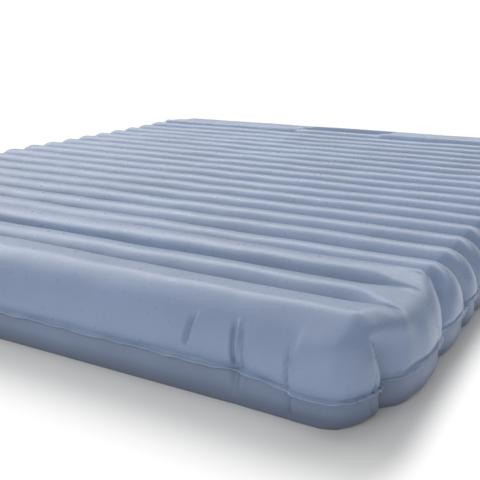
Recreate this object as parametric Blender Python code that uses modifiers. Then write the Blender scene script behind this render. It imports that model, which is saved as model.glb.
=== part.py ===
"""Pressure relief mattress: transverse air cells in a welded two-piece cover, with a recessed port bay.

Metres, +Z up. Origin: bottom centre. -Y is the foot end, +Y the head end, which has the port bay.
Positions along the length ("stations") are counted in cell pitches, see y_at. The cover's shape
is also worked out in pitches.
"""
import bpy
import bmesh
import math
from itertools import pairwise
from mathutils import Matrix, Vector

# ---------------------------------------------------------------- driving dimensions
PITCH = 0.085                # cell pitch along the length
SHEET = 0.0012               # thickness of the coated cover fabric
GAP = 0.0003                 # clearance between neighbouring pieces

# along the length, in pitches
FOOT_TIP = -0.13             # outermost point of the foot end
HEAD_TIP = 23.13             # outermost point of the head end
END_SUM = FOOT_TIP + HEAD_TIP    # a station and its mirror image add up to this
MIDDLE = 0.5 * END_SUM
END_START = 0.78             # where the foot end shoulder starts
BOUNDS = [k + 0.5 for k in range(1, 22)]    # cell boundaries, an end bolster outside each end
SIDE_GROOVES = [0.80, 3.45] + [k + 0.5 for k in range(4, 19)] + [END_SUM - 3.45, END_SUM - 0.80]

# cross section of the cover, in pitches
CREST = 1.50                 # height of a regular ridge
SEAM = 0.55                  # height of the perimeter weld
WALL_X = 9.155               # half width over the widest line of the side walls
SHOULDER_X, SHOULDER_Y = 0.655, 0.86    # side and end shoulder radii
FLANGE_X, FLANGE_Y = 0.12, 0.055        # weld flange width along the sides and across the ends
TUCK_X, TUCK_Y = 0.04, 0.03             # how far the upper wall tucks in at the weld
BULGE = 0.68                 # height of the widest line of the upper wall
TOP_DEPTH = 0.33             # depth of the grooves between ridges
SIDE_DEPTH = 0.26            # depth of the grooves down the side wall

SIDES = ((-1, "left"), (1, "right"))    # sign of x and its tag


def y_at(station):
    return (station - MIDDLE) * PITCH


# port bay, on the centre line between the last two boundaries
BAY_Y = y_at(0.5 * (BOUNDS[-2] + BOUNDS[-1]))
BAY_HALF_X = 0.156
BAY_HALF_Y = 0.0385
BAY_FLOOR = 0.0700

# ---------------------------------------------------------------- scene
for old in list(bpy.data.objects):
    bpy.data.objects.remove(old, do_unlink=True)

part_coll = bpy.data.collections.new("pressure_relief_mattress")
cut_coll = bpy.data.collections.new("cutters")
bpy.context.scene.collection.children.link(part_coll)
bpy.context.scene.collection.children.link(cut_coll)


# ---------------------------------------------------------------- materials
def material(name, rgb, roughness, metallic=0.0):
    mat = bpy.data.materials.new(name)
    mat.use_nodes = True
    inputs = mat.node_tree.nodes["Principled BSDF"].inputs
    inputs["Base Color"].default_value = (*rgb, 1.0)
    inputs["Roughness"].default_value = roughness
    inputs["Metallic"].default_value = metallic
    return mat


LIGHT = (0.72, 0.74, 0.76)
upper_mat = material("cover_upper", rgb=(0.235, 0.320, 0.480), roughness=0.38)
lower_mat = material("cover_lower", rgb=(0.20, 0.27, 0.40), roughness=0.42)
fabric_mat = material("base_fabric", rgb=(0.45, 0.49, 0.55), roughness=0.8)
webbing_mat = material("webbing", rgb=(0.10, 0.11, 0.13), roughness=0.85)
cell_mat = material("cell_film", rgb=(0.62, 0.68, 0.74), roughness=0.45)
hose_mat = material("hose_pvc", rgb=(0.55, 0.60, 0.64), roughness=0.35)
pocket_mat = material("pocket_moulding", rgb=(0.18, 0.24, 0.35), roughness=0.45)
panel_mat = material("port_panel", rgb=(0.32, 0.34, 0.37), roughness=0.45)
frame_mat = material("backing_frame", rgb=LIGHT, roughness=0.5)
screw_mat = material("screw_steel", rgb=(0.7, 0.7, 0.7), roughness=0.3, metallic=1.0)
valve_mat = material("valve_body", rgb=LIGHT, roughness=0.35)
gasket_mat = material("gasket_rubber", rgb=(0.03, 0.03, 0.03), roughness=0.7)
spring_mat = material("spring_steel", rgb=(0.62, 0.62, 0.64), roughness=0.3, metallic=1.0)
cap_mat = material("valve_cap", rgb=(0.10, 0.22, 0.42), roughness=0.4)
cpr_mat = material("cpr_body", rgb=LIGHT, roughness=0.35)
knob_mat = material("cpr_knob", rgb=(0.62, 0.05, 0.04), roughness=0.35)
socket_mat = material("port_socket", rgb=(0.09, 0.10, 0.11), roughness=0.4)
sleeve_mat = material("port_sleeve", rgb=(0.75, 0.60, 0.32), roughness=0.25, metallic=1.0)
button_mat = material("release_button", rgb=(0.20, 0.45, 0.70), roughness=0.35)


# ---------------------------------------------------------------- building helpers
def new_object(name, data, mat):
    ob = bpy.data.objects.new(name, data)
    part_coll.objects.link(ob)
    if mat:
        data.materials.append(mat)
    return ob


def mesh_from(bm, name):
    mesh = bpy.data.meshes.new(name)
    bm.to_mesh(mesh)
    bm.free()
    return mesh


def solid_mesh(bm, name):
    bmesh.ops.recalc_face_normals(bm, faces=bm.faces)
    return mesh_from(bm, name)


def box(name, size, centre, mat=None):
    bm = bmesh.new()
    bmesh.ops.create_cube(bm, size=1.0, matrix=Matrix.Diagonal((*size, 1.0)))
    ob = new_object(name, solid_mesh(bm, name), mat)
    ob.location = centre
    return ob


def rod(name, radius, length, centre, axis, mat=None, segs=16):
    turn = {'Z': Matrix.Identity(4),
            'X': Matrix.Rotation(math.pi / 2, 4, 'Y'),
            'Y': Matrix.Rotation(math.pi / 2, 4, 'X')}[axis]
    bm = bmesh.new()
    bmesh.ops.create_cone(bm, cap_ends=True, segments=segs, radius1=radius, radius2=radius,
                          depth=length, matrix=turn)
    ob = new_object(name, solid_mesh(bm, name), mat)
    ob.location = centre
    return ob


def turned(name, profile, centre, mat, segs):
    """Piece turned about Z from (radius, height) points; a profile clear of the axis is closed."""
    edges = [(i, i + 1) for i in range(len(profile) - 1)]
    if profile[0][0] > 0.0:
        edges.append((len(profile) - 1, 0))
    mesh = bpy.data.meshes.new(name)
    mesh.from_pydata([(radius, 0.0, z) for radius, z in profile], edges, [])
    ob = new_object(name, mesh, mat)
    ob.location = centre
    mod = ob.modifiers.new("turn", 'SCREW')
    mod.angle = 2.0 * math.pi
    mod.steps = mod.render_steps = segs
    mod.use_merge_vertices = True
    mod.merge_threshold = 0.00001
    mod.use_smooth_shade = False
    return ob


def tube(name, points, radius, mat, resolution):
    """Round bar or hose along a polyline."""
    curve = bpy.data.curves.new(name, 'CURVE')
    curve.dimensions = '3D'
    curve.bevel_depth = radius
    curve.bevel_resolution = resolution
    curve.use_fill_caps = True
    spline = curve.splines.new('POLY')
    spline.points.add(len(points) - 1)
    for spline_point, point in zip(spline.points, points):
        spline_point.co = (*point, 1.0)
    return new_object(name, curve, mat)


def coil(name, centre, radius, wire, z_low, z_high, turns):
    """Coil spring about Z; wire is the radius of the wire."""
    per_turn = 10
    count = int(turns * per_turn)
    points = []
    for i in range(count + 1):
        angle = 2.0 * math.pi * i / per_turn
        points.append((centre[0] + radius * math.cos(angle),
                       centre[1] + radius * math.sin(angle),
                       z_low + (z_high - z_low) * i / count))
    return tube(name, points, wire, spring_mat, resolution=0)


def rounded_path(points, radius, steps):
    """Polyline with its corners rounded."""
    points = [Vector(point) for point in points]
    path = [points[0]]
    for before, corner, after in zip(points[:-2], points[1:-1], points[2:]):
        start = corner + (before - corner).normalized() * radius
        end = corner + (after - corner).normalized() * radius
        for i in range(steps + 1):
            t = i / steps
            path.append((1 - t) ** 2 * start + 2 * t * (1 - t) * corner + t * t * end)
    return path + [points[-1]]


def add_booleans(body, tools, operation):
    """Move each tool to the hidden helpers and apply it to the body."""
    for tool in tools:
        part_coll.objects.unlink(tool)
        cut_coll.objects.link(tool)
        tool.hide_render = True
        tool.display_type = 'WIRE'
        mod = body.modifiers.new(operation.lower() + "_" + tool.name, 'BOOLEAN')
        mod.operation = operation
        mod.object = tool
        mod.solver = 'EXACT'


def cut(body, *tools):
    add_booleans(body, tools, 'DIFFERENCE')


def join(body, *tools):
    add_booleans(body, tools, 'UNION')


# ---------------------------------------------------------------- ridges and grooves, in pitches
# Raised or lowered bands of crests: height, stations of the run in, stations of the run out
FOOT_BANDS = [(0.06, None, (1.3, 1.7)),
              (0.03, (1.3, 1.7), (3.3, 3.7)),
              (0.07, (2.4, 2.7), (3.3, 3.7))]
HEAD_BANDS = [(0.04, (19.4, 19.7), (20.3, 20.6)),
              (-0.05, (21.3, 21.7), None)]
HEAD_SLOPE = 0.14            # fall of the top over the head bolster, per pitch
HEAD_SLOPE_START = 21.7
ARC_FULLNESS = 0.88          # how much of a half round a tube's back takes up
MERGED_RIDGES = 3.2          # ridges nearer an end than this have no groove at the side shoulder
FOOT_TOP_GROOVE = 1.05       # where the top starts to fall to the first boundary
FOOT_SIDE_GROOVE = 0.3       # where the side starts to fall to the first side groove
WIDE_SPAN = 1.5              # side spans longer than this are corner spans
CORNER_POWER = 1.8           # flattens the middle of a corner span
CORNER_INSET = 0.40          # how far the side line is set in at the corners
CORNER_INSET_RUN = (0.48, 1.40)     # where that inset fades out


def smooth(value, start, end):
    t = min(1.0, max(0.0, (value - start) / (end - start)))
    return t * t * (3.0 - 2.0 * t)


def from_end(station):
    """Station counted from the nearer end."""
    return min(station, END_SUM - station)


def crest_height(station):
    """Envelope through the ridge crests: the end ridges stand a little higher or lower."""
    at_head = station > MIDDLE
    height = CREST
    for rise, run_in, run_out in (HEAD_BANDS if at_head else FOOT_BANDS):
        if run_in:
            rise *= smooth(station, *run_in)
        if run_out:
            rise *= 1.0 - smooth(station, *run_out)
        height += rise
    if at_head:
        height -= HEAD_SLOPE * max(0.0, station - HEAD_SLOPE_START)
    return height


def arc_depth(t):
    """Share of the groove depth below a tube's crest, t from -1 to 1 over its width."""
    fall = 1.0 - math.sqrt(max(0.0, 1.0 - ARC_FULLNESS * t * t))
    return fall / (1.0 - math.sqrt(1.0 - ARC_FULLNESS))


def place_in_span(station, bounds):
    """Length of the span that holds the station, and the place in it from -1 to 1."""
    for start, end in pairwise(bounds):
        if start <= station <= end:
            return end - start, 2.0 * (station - start) / (end - start) - 1.0


def end_fall(margin, start, end):
    return arc_depth(max(0.0, (margin - start) / (end - start)))


def top_groove(station, at_shoulder):
    """Groove between ridges; near the ends they run out into one rounded side shoulder."""
    margin = from_end(station)
    if at_shoulder and margin < MERGED_RIDGES:
        return 0.0
    if margin <= BOUNDS[0]:
        return TOP_DEPTH * end_fall(margin, FOOT_TOP_GROOVE, BOUNDS[0])
    return TOP_DEPTH * arc_depth(place_in_span(station, BOUNDS)[1])


def side_groove(station):
    """Groove down the side wall, half as deep towards the corners."""
    margin = from_end(station)
    if margin <= SIDE_GROOVES[0]:
        return 0.5 * SIDE_DEPTH * end_fall(margin, FOOT_SIDE_GROOVE, SIDE_GROOVES[0])
    length, t = place_in_span(station, SIDE_GROOVES)
    if length <= WIDE_SPAN:
        return SIDE_DEPTH * arc_depth(t)
    faces_corner = t < 0.0 if station < MIDDLE else t > 0.0
    share = 0.5 if faces_corner else 1.0
    return share * SIDE_DEPTH * arc_depth(math.copysign(abs(t) ** CORNER_POWER, t))


def side_line(station):
    """Where the side shoulder starts, from the centre line."""
    inset = CORNER_INSET * (1.0 - smooth(from_end(station), *CORNER_INSET_RUN))
    return WALL_X - SHOULDER_X - inset


# ---------------------------------------------------------------- wall profiles
# Each gives reach to the side and to the end, in pitches, and the share of the sheet's height.
ROUND_POWER = 2 / 1.72       # superellipse power of the upper shoulder
UPPER_BREAK = 0.84           # share of the upper wall above its widest line
LOWER_BREAK = 0.4            # share of the lower wall above its widest line
LOWER_BULGE_X, LOWER_BULGE_Y = 0.02, 0.10    # bulge of the lower wall beyond the weld
LOWER_BULGE_SHARE = 0.40     # height share of the widest line of the lower wall
UNDER_X, UNDER_Y = 0.165, 0.03               # how far the lower wall runs back in to the floor


def upper_profile(share):
    """Upper wall from the shoulder (0) to the weld (1)."""
    bulge = (BULGE - SEAM) / (CREST - SEAM)
    if share <= UPPER_BREAK:
        angle = 0.5 * math.pi * share / UPPER_BREAK
        out = math.sin(angle) ** ROUND_POWER
        up = max(0.0, math.cos(angle)) ** ROUND_POWER
        return SHOULDER_X * out, SHOULDER_Y * out, bulge + (1.0 - bulge) * up
    angle = 0.5 * math.pi * (share - UPPER_BREAK) / (1.0 - UPPER_BREAK)
    tuck = 1.0 - math.cos(angle)
    return (SHOULDER_X - TUCK_X * tuck, SHOULDER_Y - TUCK_Y * tuck,
            bulge * (1.0 - math.sin(angle)))


def lower_profile(share):
    """Lower wall from the floor (0) to the weld (1)."""
    weld_x, weld_y = SHOULDER_X - TUCK_X, SHOULDER_Y - TUCK_Y
    down = 1.0 - share
    if down <= LOWER_BREAK:
        angle = 0.5 * math.pi * down / LOWER_BREAK
        out = math.sin(angle)
        return (weld_x + LOWER_BULGE_X * out, weld_y + LOWER_BULGE_Y * out,
                1.0 - (1.0 - LOWER_BULGE_SHARE) * (1.0 - math.cos(angle)))
    angle = 0.5 * math.pi * (down - LOWER_BREAK) / (1.0 - LOWER_BREAK)
    back = 1.0 - math.cos(angle)
    return (weld_x + LOWER_BULGE_X - UNDER_X * back, weld_y + LOWER_BULGE_Y - UNDER_Y * back,
            LOWER_BULGE_SHARE * (1.0 - math.sin(angle)))


# ---------------------------------------------------------------- cover sheets
# A column is (side, share, on flange): side is the sign of x, or a fraction of the side line
# across the top; share is how far down the side wall it lies.
# A row is (end, share, on flange, station): end is the sign of y, or 0 between the end shoulders.

def corner_angle(share_x, share_y):
    """Direction round a corner, from 0 along x to a quarter turn along y."""
    if share_x <= 0.0 and share_y <= 0.0:
        return 0.0
    if share_x >= share_y:
        return 0.25 * math.pi * share_y / share_x
    return 0.5 * math.pi - 0.25 * math.pi * share_x / share_y


def wall_point(column, row, profile):
    """Point of an ungrooved sheet: x, y in pitches, share down the wall, height share."""
    side, share_x, flange_x = column
    end, share_y, flange_y, station = row
    share = max(share_x, share_y)
    angle = corner_angle(share_x, share_y)
    reach_x, reach_y, height = profile(share)
    flange = 0.0
    if flange_x or flange_y:
        flange = FLANGE_X * math.cos(angle) ** 2 + FLANGE_Y * math.sin(angle) ** 2
    x = side * (side_line(station) + math.cos(angle) * (reach_x + flange))
    y = station + end * math.sin(angle) * (reach_y + flange)
    return x, y, share, height


def upper_point(column, row):
    side, end, station = column[0], row[0], row[3]
    x, y, share, height = wall_point(column, row, upper_profile)
    z = (SEAM + (crest_height(station) - SEAM) * height) * PITCH
    if end == 0:
        # blend from the top grooves to the side grooves, sunk square to the rounded shoulder
        to_side = smooth(share, 0.15, 0.55)
        side_depth = side_groove(station) * (1.0 - 0.5 * smooth(share, 0.72, 1.0))
        depth = (1.0 - to_side) * top_groove(station, abs(side) == 1) + to_side * side_depth
        lean = 0.5 * math.pi * min(1.0, share / 0.60)
        x -= side * math.sin(lean) * depth
        z -= math.cos(lean) * depth * PITCH
    if share >= 1.0:
        z = SEAM * PITCH + 0.5 * GAP + SHEET
    return Vector((x * PITCH, y_at(y), z))


def lower_point(column, row):
    side, end, station = column[0], row[0], row[3]
    x, y, share, height = wall_point(column, row, lower_profile)
    if end == 0:
        x -= side * 0.5 * side_groove(station)
    z = SEAM * PITCH * height if share > LOWER_SHARES[0] else 0.0
    if share >= 1.0:
        z = SEAM * PITCH - 0.5 * GAP - SHEET
    return Vector((x * PITCH, y_at(y), z))


def edge_lines(shares):
    """Grid lines of the -X or -Y edge, from the flange inwards."""
    return [(-1, 1.0, True)] + [(-1, share, False) for share in reversed(shares)]


def sheet_columns(shares, across):
    left = edge_lines(shares)
    middle = [(side, 0.0, False) for side in across]
    return left + middle + [(-side, *rest) for side, *rest in reversed(left)]


def sheet_rows(shares, shoulder, in_span):
    """Rows from foot to head; in_span are places from -1 to 1 within each cell."""
    stations = list(shoulder)
    for start, end in pairwise(BOUNDS):
        centre, half = 0.5 * (start + end), 0.5 * (end - start)
        stations += [start] + [centre + t * half for t in in_span]
    stations += [BOUNDS[-1]] + [END_SUM - station for station in reversed(shoulder)]
    edge = edge_lines(shares)
    foot = [(*line, END_START) for line in edge]
    head = [(-end, *rest, END_SUM - END_START) for end, *rest in reversed(edge)]
    return foot + [(0, 0.0, False, station) for station in stations] + head


def grid_sheet(name, rows, columns, point, mat, flip=False):
    """Open sheet over a grid of rows and columns, given a thickness on its inner side."""
    bm = bmesh.new()
    verts = [[bm.verts.new(point(column, row)) for column in columns] for row in rows]
    for row, following in pairwise(verts):
        for j in range(len(columns) - 1):
            quad = [row[j], row[j + 1], following[j + 1], following[j]]
            bm.faces.new(quad[::-1] if flip else quad)
    ob = new_object(name, mesh_from(bm, name), mat)
    mod = ob.modifiers.new("sheet", 'SOLIDIFY')
    mod.thickness = SHEET
    mod.offset = -1.0
    mod.use_even_offset = False
    return ob


TUBE_SAMPLE = 0.62           # place of the points beside a tube's crest, as a share of half its width
UPPER_SHARES = [0.22, 0.42, 0.62, 0.84, 1.0]
LOWER_SHARES = [0.02, 0.3, 0.6, 1.0]

upper_cover = grid_sheet(
    "upper_cover",
    sheet_rows(UPPER_SHARES, [END_START, 0.80, 0.95, 1.25], (-TUBE_SAMPLE, 0.0, TUBE_SAMPLE)),
    sheet_columns(UPPER_SHARES, (-1, -0.9, 0, 0.9, 1)), upper_point, upper_mat)
grid_sheet(
    "lower_cover", sheet_rows(LOWER_SHARES, [END_START, 0.80, 1.0], (0.0,)),
    sheet_columns(LOWER_SHARES, ()), lower_point, lower_mat, flip=True)
cut(upper_cover, box("bay_opening_cutter", (2 * BAY_HALF_X, 2 * BAY_HALF_Y, 0.08), (0, BAY_Y, 0.12)))

# ---------------------------------------------------------------- sheet and straps under the cells
box("cell_base_sheet", (1.36, 1.90, 0.0012), (0, 0, 0.0040), fabric_mat)
STRAP_X = 0.43
for sign, tag in SIDES:
    box("cell_strap_" + tag, (0.030, 1.84, 0.0014), (sign * STRAP_X, 0, 0.0060), webbing_mat)

# ---------------------------------------------------------------- air cells
CELL_FLOOR = 0.0085
BAY_CELL_FLOOR = 0.036       # the cells beside the port bay lie above the hoses
COVER_CLEAR = 0.0052         # below the outer face of the cover
CELL_CLEAR = 0.0022          # from a cell to its boundary
CHAMFER = 0.012              # lower edges of a cell
BOLSTER_END = 0.700          # x of the ends of the bolsters and of the cells beside the bay
BAY_CELL_X = 0.166           # x of the ends facing the bay
ROUNDED = (0.62, 0.035)      # cell end: scale of the end face, length of the run up to full size
BLUNT = (0.9, 0.012)

# Foot bolster outline: station and height, both in pitches
BOLSTER = [(0.22, 0.11), (0.05, 0.30), (0.05, 0.58), (0.04, 0.84), (0.20, 1.10), (0.41, 1.26),
           (0.68, 1.39), (1.02, 1.42), (1.28, 1.30), (1.44, 1.04), (1.44, 0.25), (1.32, 0.11)]


def cell(name, outline, x_left, x_right, left_end=ROUNDED, right_end=ROUNDED):
    """Air cell lofted across the width from an outline of (y, z), narrowed at its closed ends."""
    mid_y = sum(y for y, z in outline) / len(outline)
    mid_z = sum(z for y, z in outline) / len(outline)
    sections = [(x_left, left_end[0]), (x_left + left_end[1], 1.0),
                (x_right - right_end[1], 1.0), (x_right, right_end[0])]
    bm = bmesh.new()
    rings = [[bm.verts.new((x, mid_y + (y - mid_y) * scale, mid_z + (z - mid_z) * scale))
              for y, z in outline] for x, scale in sections]
    count = len(outline)
    for ring, following in pairwise(rings):
        for i in range(count):
            j = (i + 1) % count
            bm.faces.new((ring[i], ring[j], following[j], following[i]))
    bm.faces.new(rings[0])
    bm.faces.new(rings[-1][::-1])
    ob = new_object(name, solid_mesh(bm, name), cell_mat)
    ob.data.shade_smooth()
    ob.data.set_sharp_from_angle(angle=math.radians(50))


def cell_outline(start, end, floor):
    """Outline of (y, z) between two boundaries: chamfered below, round backed above."""
    y_low, y_high = y_at(start) + CELL_CLEAR, y_at(end) - CELL_CLEAR
    centre = 0.5 * (start + end)
    outline = [(y_low + CHAMFER, floor), (y_high - CHAMFER, floor), (y_high, floor + CHAMFER)]
    for t in (0.94, TUBE_SAMPLE, 0.0, -TUBE_SAMPLE, -0.94):
        z = (crest_height(centre) - TOP_DEPTH * arc_depth(t)) * PITCH - COVER_CLEAR
        outline.append((y_at(centre) + t * (0.5 * (y_high - y_low)), z))
    return outline + [(y_low, floor + CHAMFER)]


def head_bolster_height(station, z):
    """The top of the head bolster slopes down towards the end."""
    return z - HEAD_SLOPE * (BOUNDS[0] - station) if z > 1.0 else z


cell("foot_bolster_cell", [(y_at(station), z * PITCH) for station, z in BOLSTER],
     -BOLSTER_END, BOLSTER_END)
cell("head_bolster_cell",
     [(y_at(END_SUM - station), head_bolster_height(station, z) * PITCH) for station, z in BOLSTER],
     -BOLSTER_END, BOLSTER_END)

*full_spans, bay_span = pairwise(BOUNDS)
for i, span in enumerate(full_spans):
    # the two cells nearest each bolster are shorter, to clear the rounded corners
    cell_end = 0.725 - (0.012 if 1 < i < len(full_spans) - 1 else 0.022)
    cell("air_cell_%02d" % (i + 1), cell_outline(*span, CELL_FLOOR), -cell_end, cell_end)

bay_cell = "air_cell_%02d_" % (len(full_spans) + 1)
bay_outline = cell_outline(*bay_span, BAY_CELL_FLOOR)
cell(bay_cell + "left", bay_outline, -BOLSTER_END, -BAY_CELL_X, right_end=BLUNT)
cell(bay_cell + "right", bay_outline, BAY_CELL_X, BOLSTER_END, left_end=BLUNT)

# ---------------------------------------------------------------- supply hoses
PORTS = ((-1, "a"), (1, "b"))    # sign of x and tag of each air port
PORT_X = 0.013
HOSE_SIDE_X, HOSE_SIDE_Z = 0.738, 0.030     # run along the side of the mattress
HOSE_TURN_X, HOSE_CROSS_Z = 0.715, 0.0185   # run across to the ports
for sign, tag in PORTS:
    path = [(sign * HOSE_SIDE_X, y_at(1.6), HOSE_SIDE_Z),
            (sign * HOSE_SIDE_X, y_at(20.45), HOSE_SIDE_Z),
            (sign * HOSE_TURN_X, BAY_Y, HOSE_CROSS_Z),
            (sign * PORT_X, BAY_Y, HOSE_CROSS_Z),
            (sign * PORT_X, BAY_Y, 0.0395)]
    tube("air_hose_" + tag, rounded_path(path, radius=0.012, steps=3), 0.0048, hose_mat,
         resolution=1)

# ---------------------------------------------------------------- port bay pocket
POCKET_FLOOR_T = 0.0015
POCKET_HEIGHT = 0.0290
pocket = box("port_bay_pocket",
             (2 * (BAY_HALF_X + 0.0025), 2 * (BAY_HALF_Y + 0.0015), POCKET_HEIGHT),
             (0, BAY_Y, BAY_FLOOR - POCKET_FLOOR_T + 0.5 * POCKET_HEIGHT), pocket_mat)
cut(pocket,
    box("pocket_inner_cutter", (2 * (BAY_HALF_X + 0.0010), 2 * BAY_HALF_Y, 0.04),
        (0, BAY_Y, BAY_FLOOR + 0.02)),
    box("pocket_floor_cutter", (0.256, 0.060, 0.02), (0, BAY_Y, BAY_FLOOR)))

# ---------------------------------------------------------------- port panel
PANEL_T = 0.0030
PANEL_Z0 = BAY_FLOOR + GAP
PANEL_Z1 = PANEL_Z0 + PANEL_T
FILL = (-0.088, BAY_Y)       # axis of the fill valve
CPR = (0.090, BAY_Y)         # axis of the quick deflate (CPR) valve
VALVE_HOLE_R = 0.0174
panel = box("port_panel", (2 * 0.1535, 2 * 0.0365, PANEL_T),
            (0, BAY_Y, 0.5 * (PANEL_Z0 + PANEL_Z1)), panel_mat)
cut(panel,
    rod("fill_hole_cutter", VALVE_HOLE_R, 0.02, (*FILL, PANEL_Z0), 'Z', segs=24),
    rod("cpr_hole_cutter", VALVE_HOLE_R, 0.02, (*CPR, PANEL_Z0), 'Z', segs=24),
    box("socket_hole_cutter", (0.0570, 0.0350, 0.02), (0, BAY_Y, PANEL_Z0)))

# ---------------------------------------------------------------- backing frame under the pocket
FRAME_T = 0.0030
FRAME_Z1 = BAY_FLOOR - POCKET_FLOOR_T - GAP
frame = box("port_backing_frame", (0.306, 0.072, FRAME_T), (0, BAY_Y, FRAME_Z1 - 0.5 * FRAME_T),
            frame_mat)
cut(frame, box("frame_opening_cutter", (0.252, 0.056, 0.02), (0, BAY_Y, FRAME_Z1)))

# ---------------------------------------------------------------- panel screws and their holes
SCREW_X, SCREW_Y = 0.141, 0.030      # from the centre of the bay
SCREW_HOLE_R = 0.0018
# radius, height above the underside of the head
SCREW = [(0.0, 0.0022), (0.0022, 0.0019), (0.0032, 0.0003), (0.0032, 0.0), (0.0014, 0.0),
         (0.0014, -0.0095), (0.0, -0.0095)]
for i, (sign_x, sign_y) in enumerate([(-1, -1), (1, -1), (-1, 1), (1, 1)], start=1):
    screw_xy = (sign_x * SCREW_X, BAY_Y + sign_y * SCREW_Y)
    for part in (panel, pocket, frame):
        cut(part, rod("screw_hole_%d_%s" % (i, part.name), SCREW_HOLE_R, 0.03,
                      (*screw_xy, BAY_FLOOR - 0.001), 'Z', segs=12))
    turned("panel_screw_%d" % i, SCREW, (*screw_xy, PANEL_Z1 + GAP), screw_mat, 10)

# ---------------------------------------------------------------- parts shared by both valves
GASKET_Z0 = PANEL_Z1 + GAP
GASKET_Z1 = GASKET_Z0 + 0.0010
FLANGE_Z0 = GASKET_Z1 + GAP
FLANGE_Z1 = FLANGE_Z0 + 0.0028
CAP_Z0 = FLANGE_Z1 + GAP     # underside of the fill valve cap and the CPR knob
VALVE_R, VALVE_BORE_R, VALVE_FLANGE_R = 0.0168, 0.0130, 0.0220
LEDGE_T = 0.0025             # thickness of the seat ring and the bottom lip
SPRING_RISE = 0.0034         # start of the spring above the bottom of the body


def gasket(name, axis):
    outer, inner = 0.0212, 0.0178
    turned(name, [(outer, GASKET_Z1), (outer, GASKET_Z0), (inner, GASKET_Z0), (inner, GASKET_Z1)],
           (*axis, 0), gasket_mat, 20)


def valve_body(name, axis, seat_r, seat_z, bottom, lip_r, mat):
    """Flanged body with a seat ring in its bore and a lip round its lower opening."""
    profile = [(VALVE_FLANGE_R, FLANGE_Z1), (VALVE_FLANGE_R, FLANGE_Z0), (VALVE_R, FLANGE_Z0),
               (VALVE_R, bottom), (lip_r, bottom), (lip_r, bottom + LEDGE_T),
               (VALVE_BORE_R, bottom + LEDGE_T), (VALVE_BORE_R, seat_z), (seat_r, seat_z),
               (seat_r, seat_z + LEDGE_T), (VALVE_BORE_R, seat_z + LEDGE_T),
               (VALVE_BORE_R, FLANGE_Z1)]
    return turned(name, profile, (*axis, 0), mat, 20)


# ---------------------------------------------------------------- hinge dimensions and lugs
PIN_R, PIN_BORE_R, BARREL_R = 0.0012, 0.00125, 0.0024


def hinge_lug(body, prefix, tag, size, centre, hinge, axis, round_length, bore_length):
    """Block with a rounded, bored top, added to a body at a hinge line."""
    join(body, box(prefix + "lug_" + tag, size, centre),
         rod(prefix + "lug_round_" + tag, BARREL_R, round_length, hinge, axis))
    cut(body, rod(prefix + "lug_bore_" + tag, PIN_BORE_R, bore_length, hinge, axis))


# ---------------------------------------------------------------- fill valve
FILL_SEAT, FILL_BOTTOM = 0.0585, 0.0400
gasket("fill_valve_gasket", FILL)
fill_body = valve_body("fill_valve_body", FILL, seat_r=0.0090, seat_z=FILL_SEAT,
                       bottom=FILL_BOTTOM, lip_r=0.0065, mat=valve_mat)
# radius, height
FILL_POPPET = [(0.0, 0.0725), (0.0025, 0.0725), (0.0025, FILL_SEAT - GAP),
               (0.0112, FILL_SEAT - GAP), (0.0112, FILL_SEAT - 0.0025),
               (0.0030, FILL_SEAT - 0.0036), (0.0030, FILL_SEAT - 0.0080),
               (0.0, FILL_SEAT - 0.0080)]
turned("fill_valve_poppet", FILL_POPPET, (*FILL, 0), valve_mat, 20)
coil("fill_valve_spring", FILL, radius=0.0052, wire=0.0006, z_low=FILL_BOTTOM + SPRING_RISE,
     z_high=FILL_SEAT - 0.0046, turns=3.5)

# cap, hinged on a line parallel to Y on the -X side of the valve
HINGE_X, HINGE_Z = FILL[0] - 0.0262, FLANGE_Z1 + 0.0032
CAP_HINGE = (HINGE_X, BAY_Y, HINGE_Z)
# radius, height
CAP = [(0.0, CAP_Z0 + 0.0046), (0.0150, CAP_Z0 + 0.0046), (0.0200, CAP_Z0 + 0.0030),
       (0.0200, CAP_Z0), (0.0, CAP_Z0)]
cap = turned("fill_valve_cap", CAP, (*FILL, 0), cap_mat, 24)
join(cap,
     box("cap_ear", (0.0100, 0.0084, 0.0026), (HINGE_X + 0.0052, BAY_Y, HINGE_Z - 0.0005)),
     rod("cap_barrel", BARREL_R, 0.0090, CAP_HINGE, 'Y'))
cut(cap, rod("cap_pin_bore", PIN_BORE_R, 0.02, CAP_HINGE, 'Y'))
for sign, tag in ((-1, "near"), (1, "far")):
    lug_y = BAY_Y + sign * 0.0064
    hinge_lug(fill_body, "", tag, (0.0079, 0.0028, HINGE_Z - FLANGE_Z0 + 0.0003),
              (HINGE_X + 0.0023, lug_y, 0.5 * (HINGE_Z + FLANGE_Z0 + 0.0011)),
              (HINGE_X, lug_y, HINGE_Z), 'Y', round_length=0.0030, bore_length=0.006)
rod("fill_valve_cap_pin", PIN_R, 0.0164, CAP_HINGE, 'Y', screw_mat)

# ---------------------------------------------------------------- quick deflate (CPR) valve
CPR_SEAT, CPR_BOTTOM = 0.0620, 0.0420
gasket("cpr_valve_gasket", CPR)
valve_body("cpr_valve_body", CPR, seat_r=0.0095, seat_z=CPR_SEAT, bottom=CPR_BOTTOM,
           lip_r=0.0060, mat=cpr_mat)
# radius, height
KNOB = [(0.0, CAP_Z0 + 0.0050), (0.0150, CAP_Z0 + 0.0050), (0.0190, CAP_Z0 + 0.0036),
        (0.0190, CAP_Z0), (0.0115, CAP_Z0), (0.0115, 0.0705), (0.0040, 0.0705),
        (0.0040, 0.0672), (0.0, 0.0672)]
knob = turned("cpr_knob", KNOB, (*CPR, 0), knob_mat, 24)
join(knob, box("knob_grip", (0.0300, 0.0060, 0.0120), (*CPR, CAP_Z0 + 0.0062)))
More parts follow.
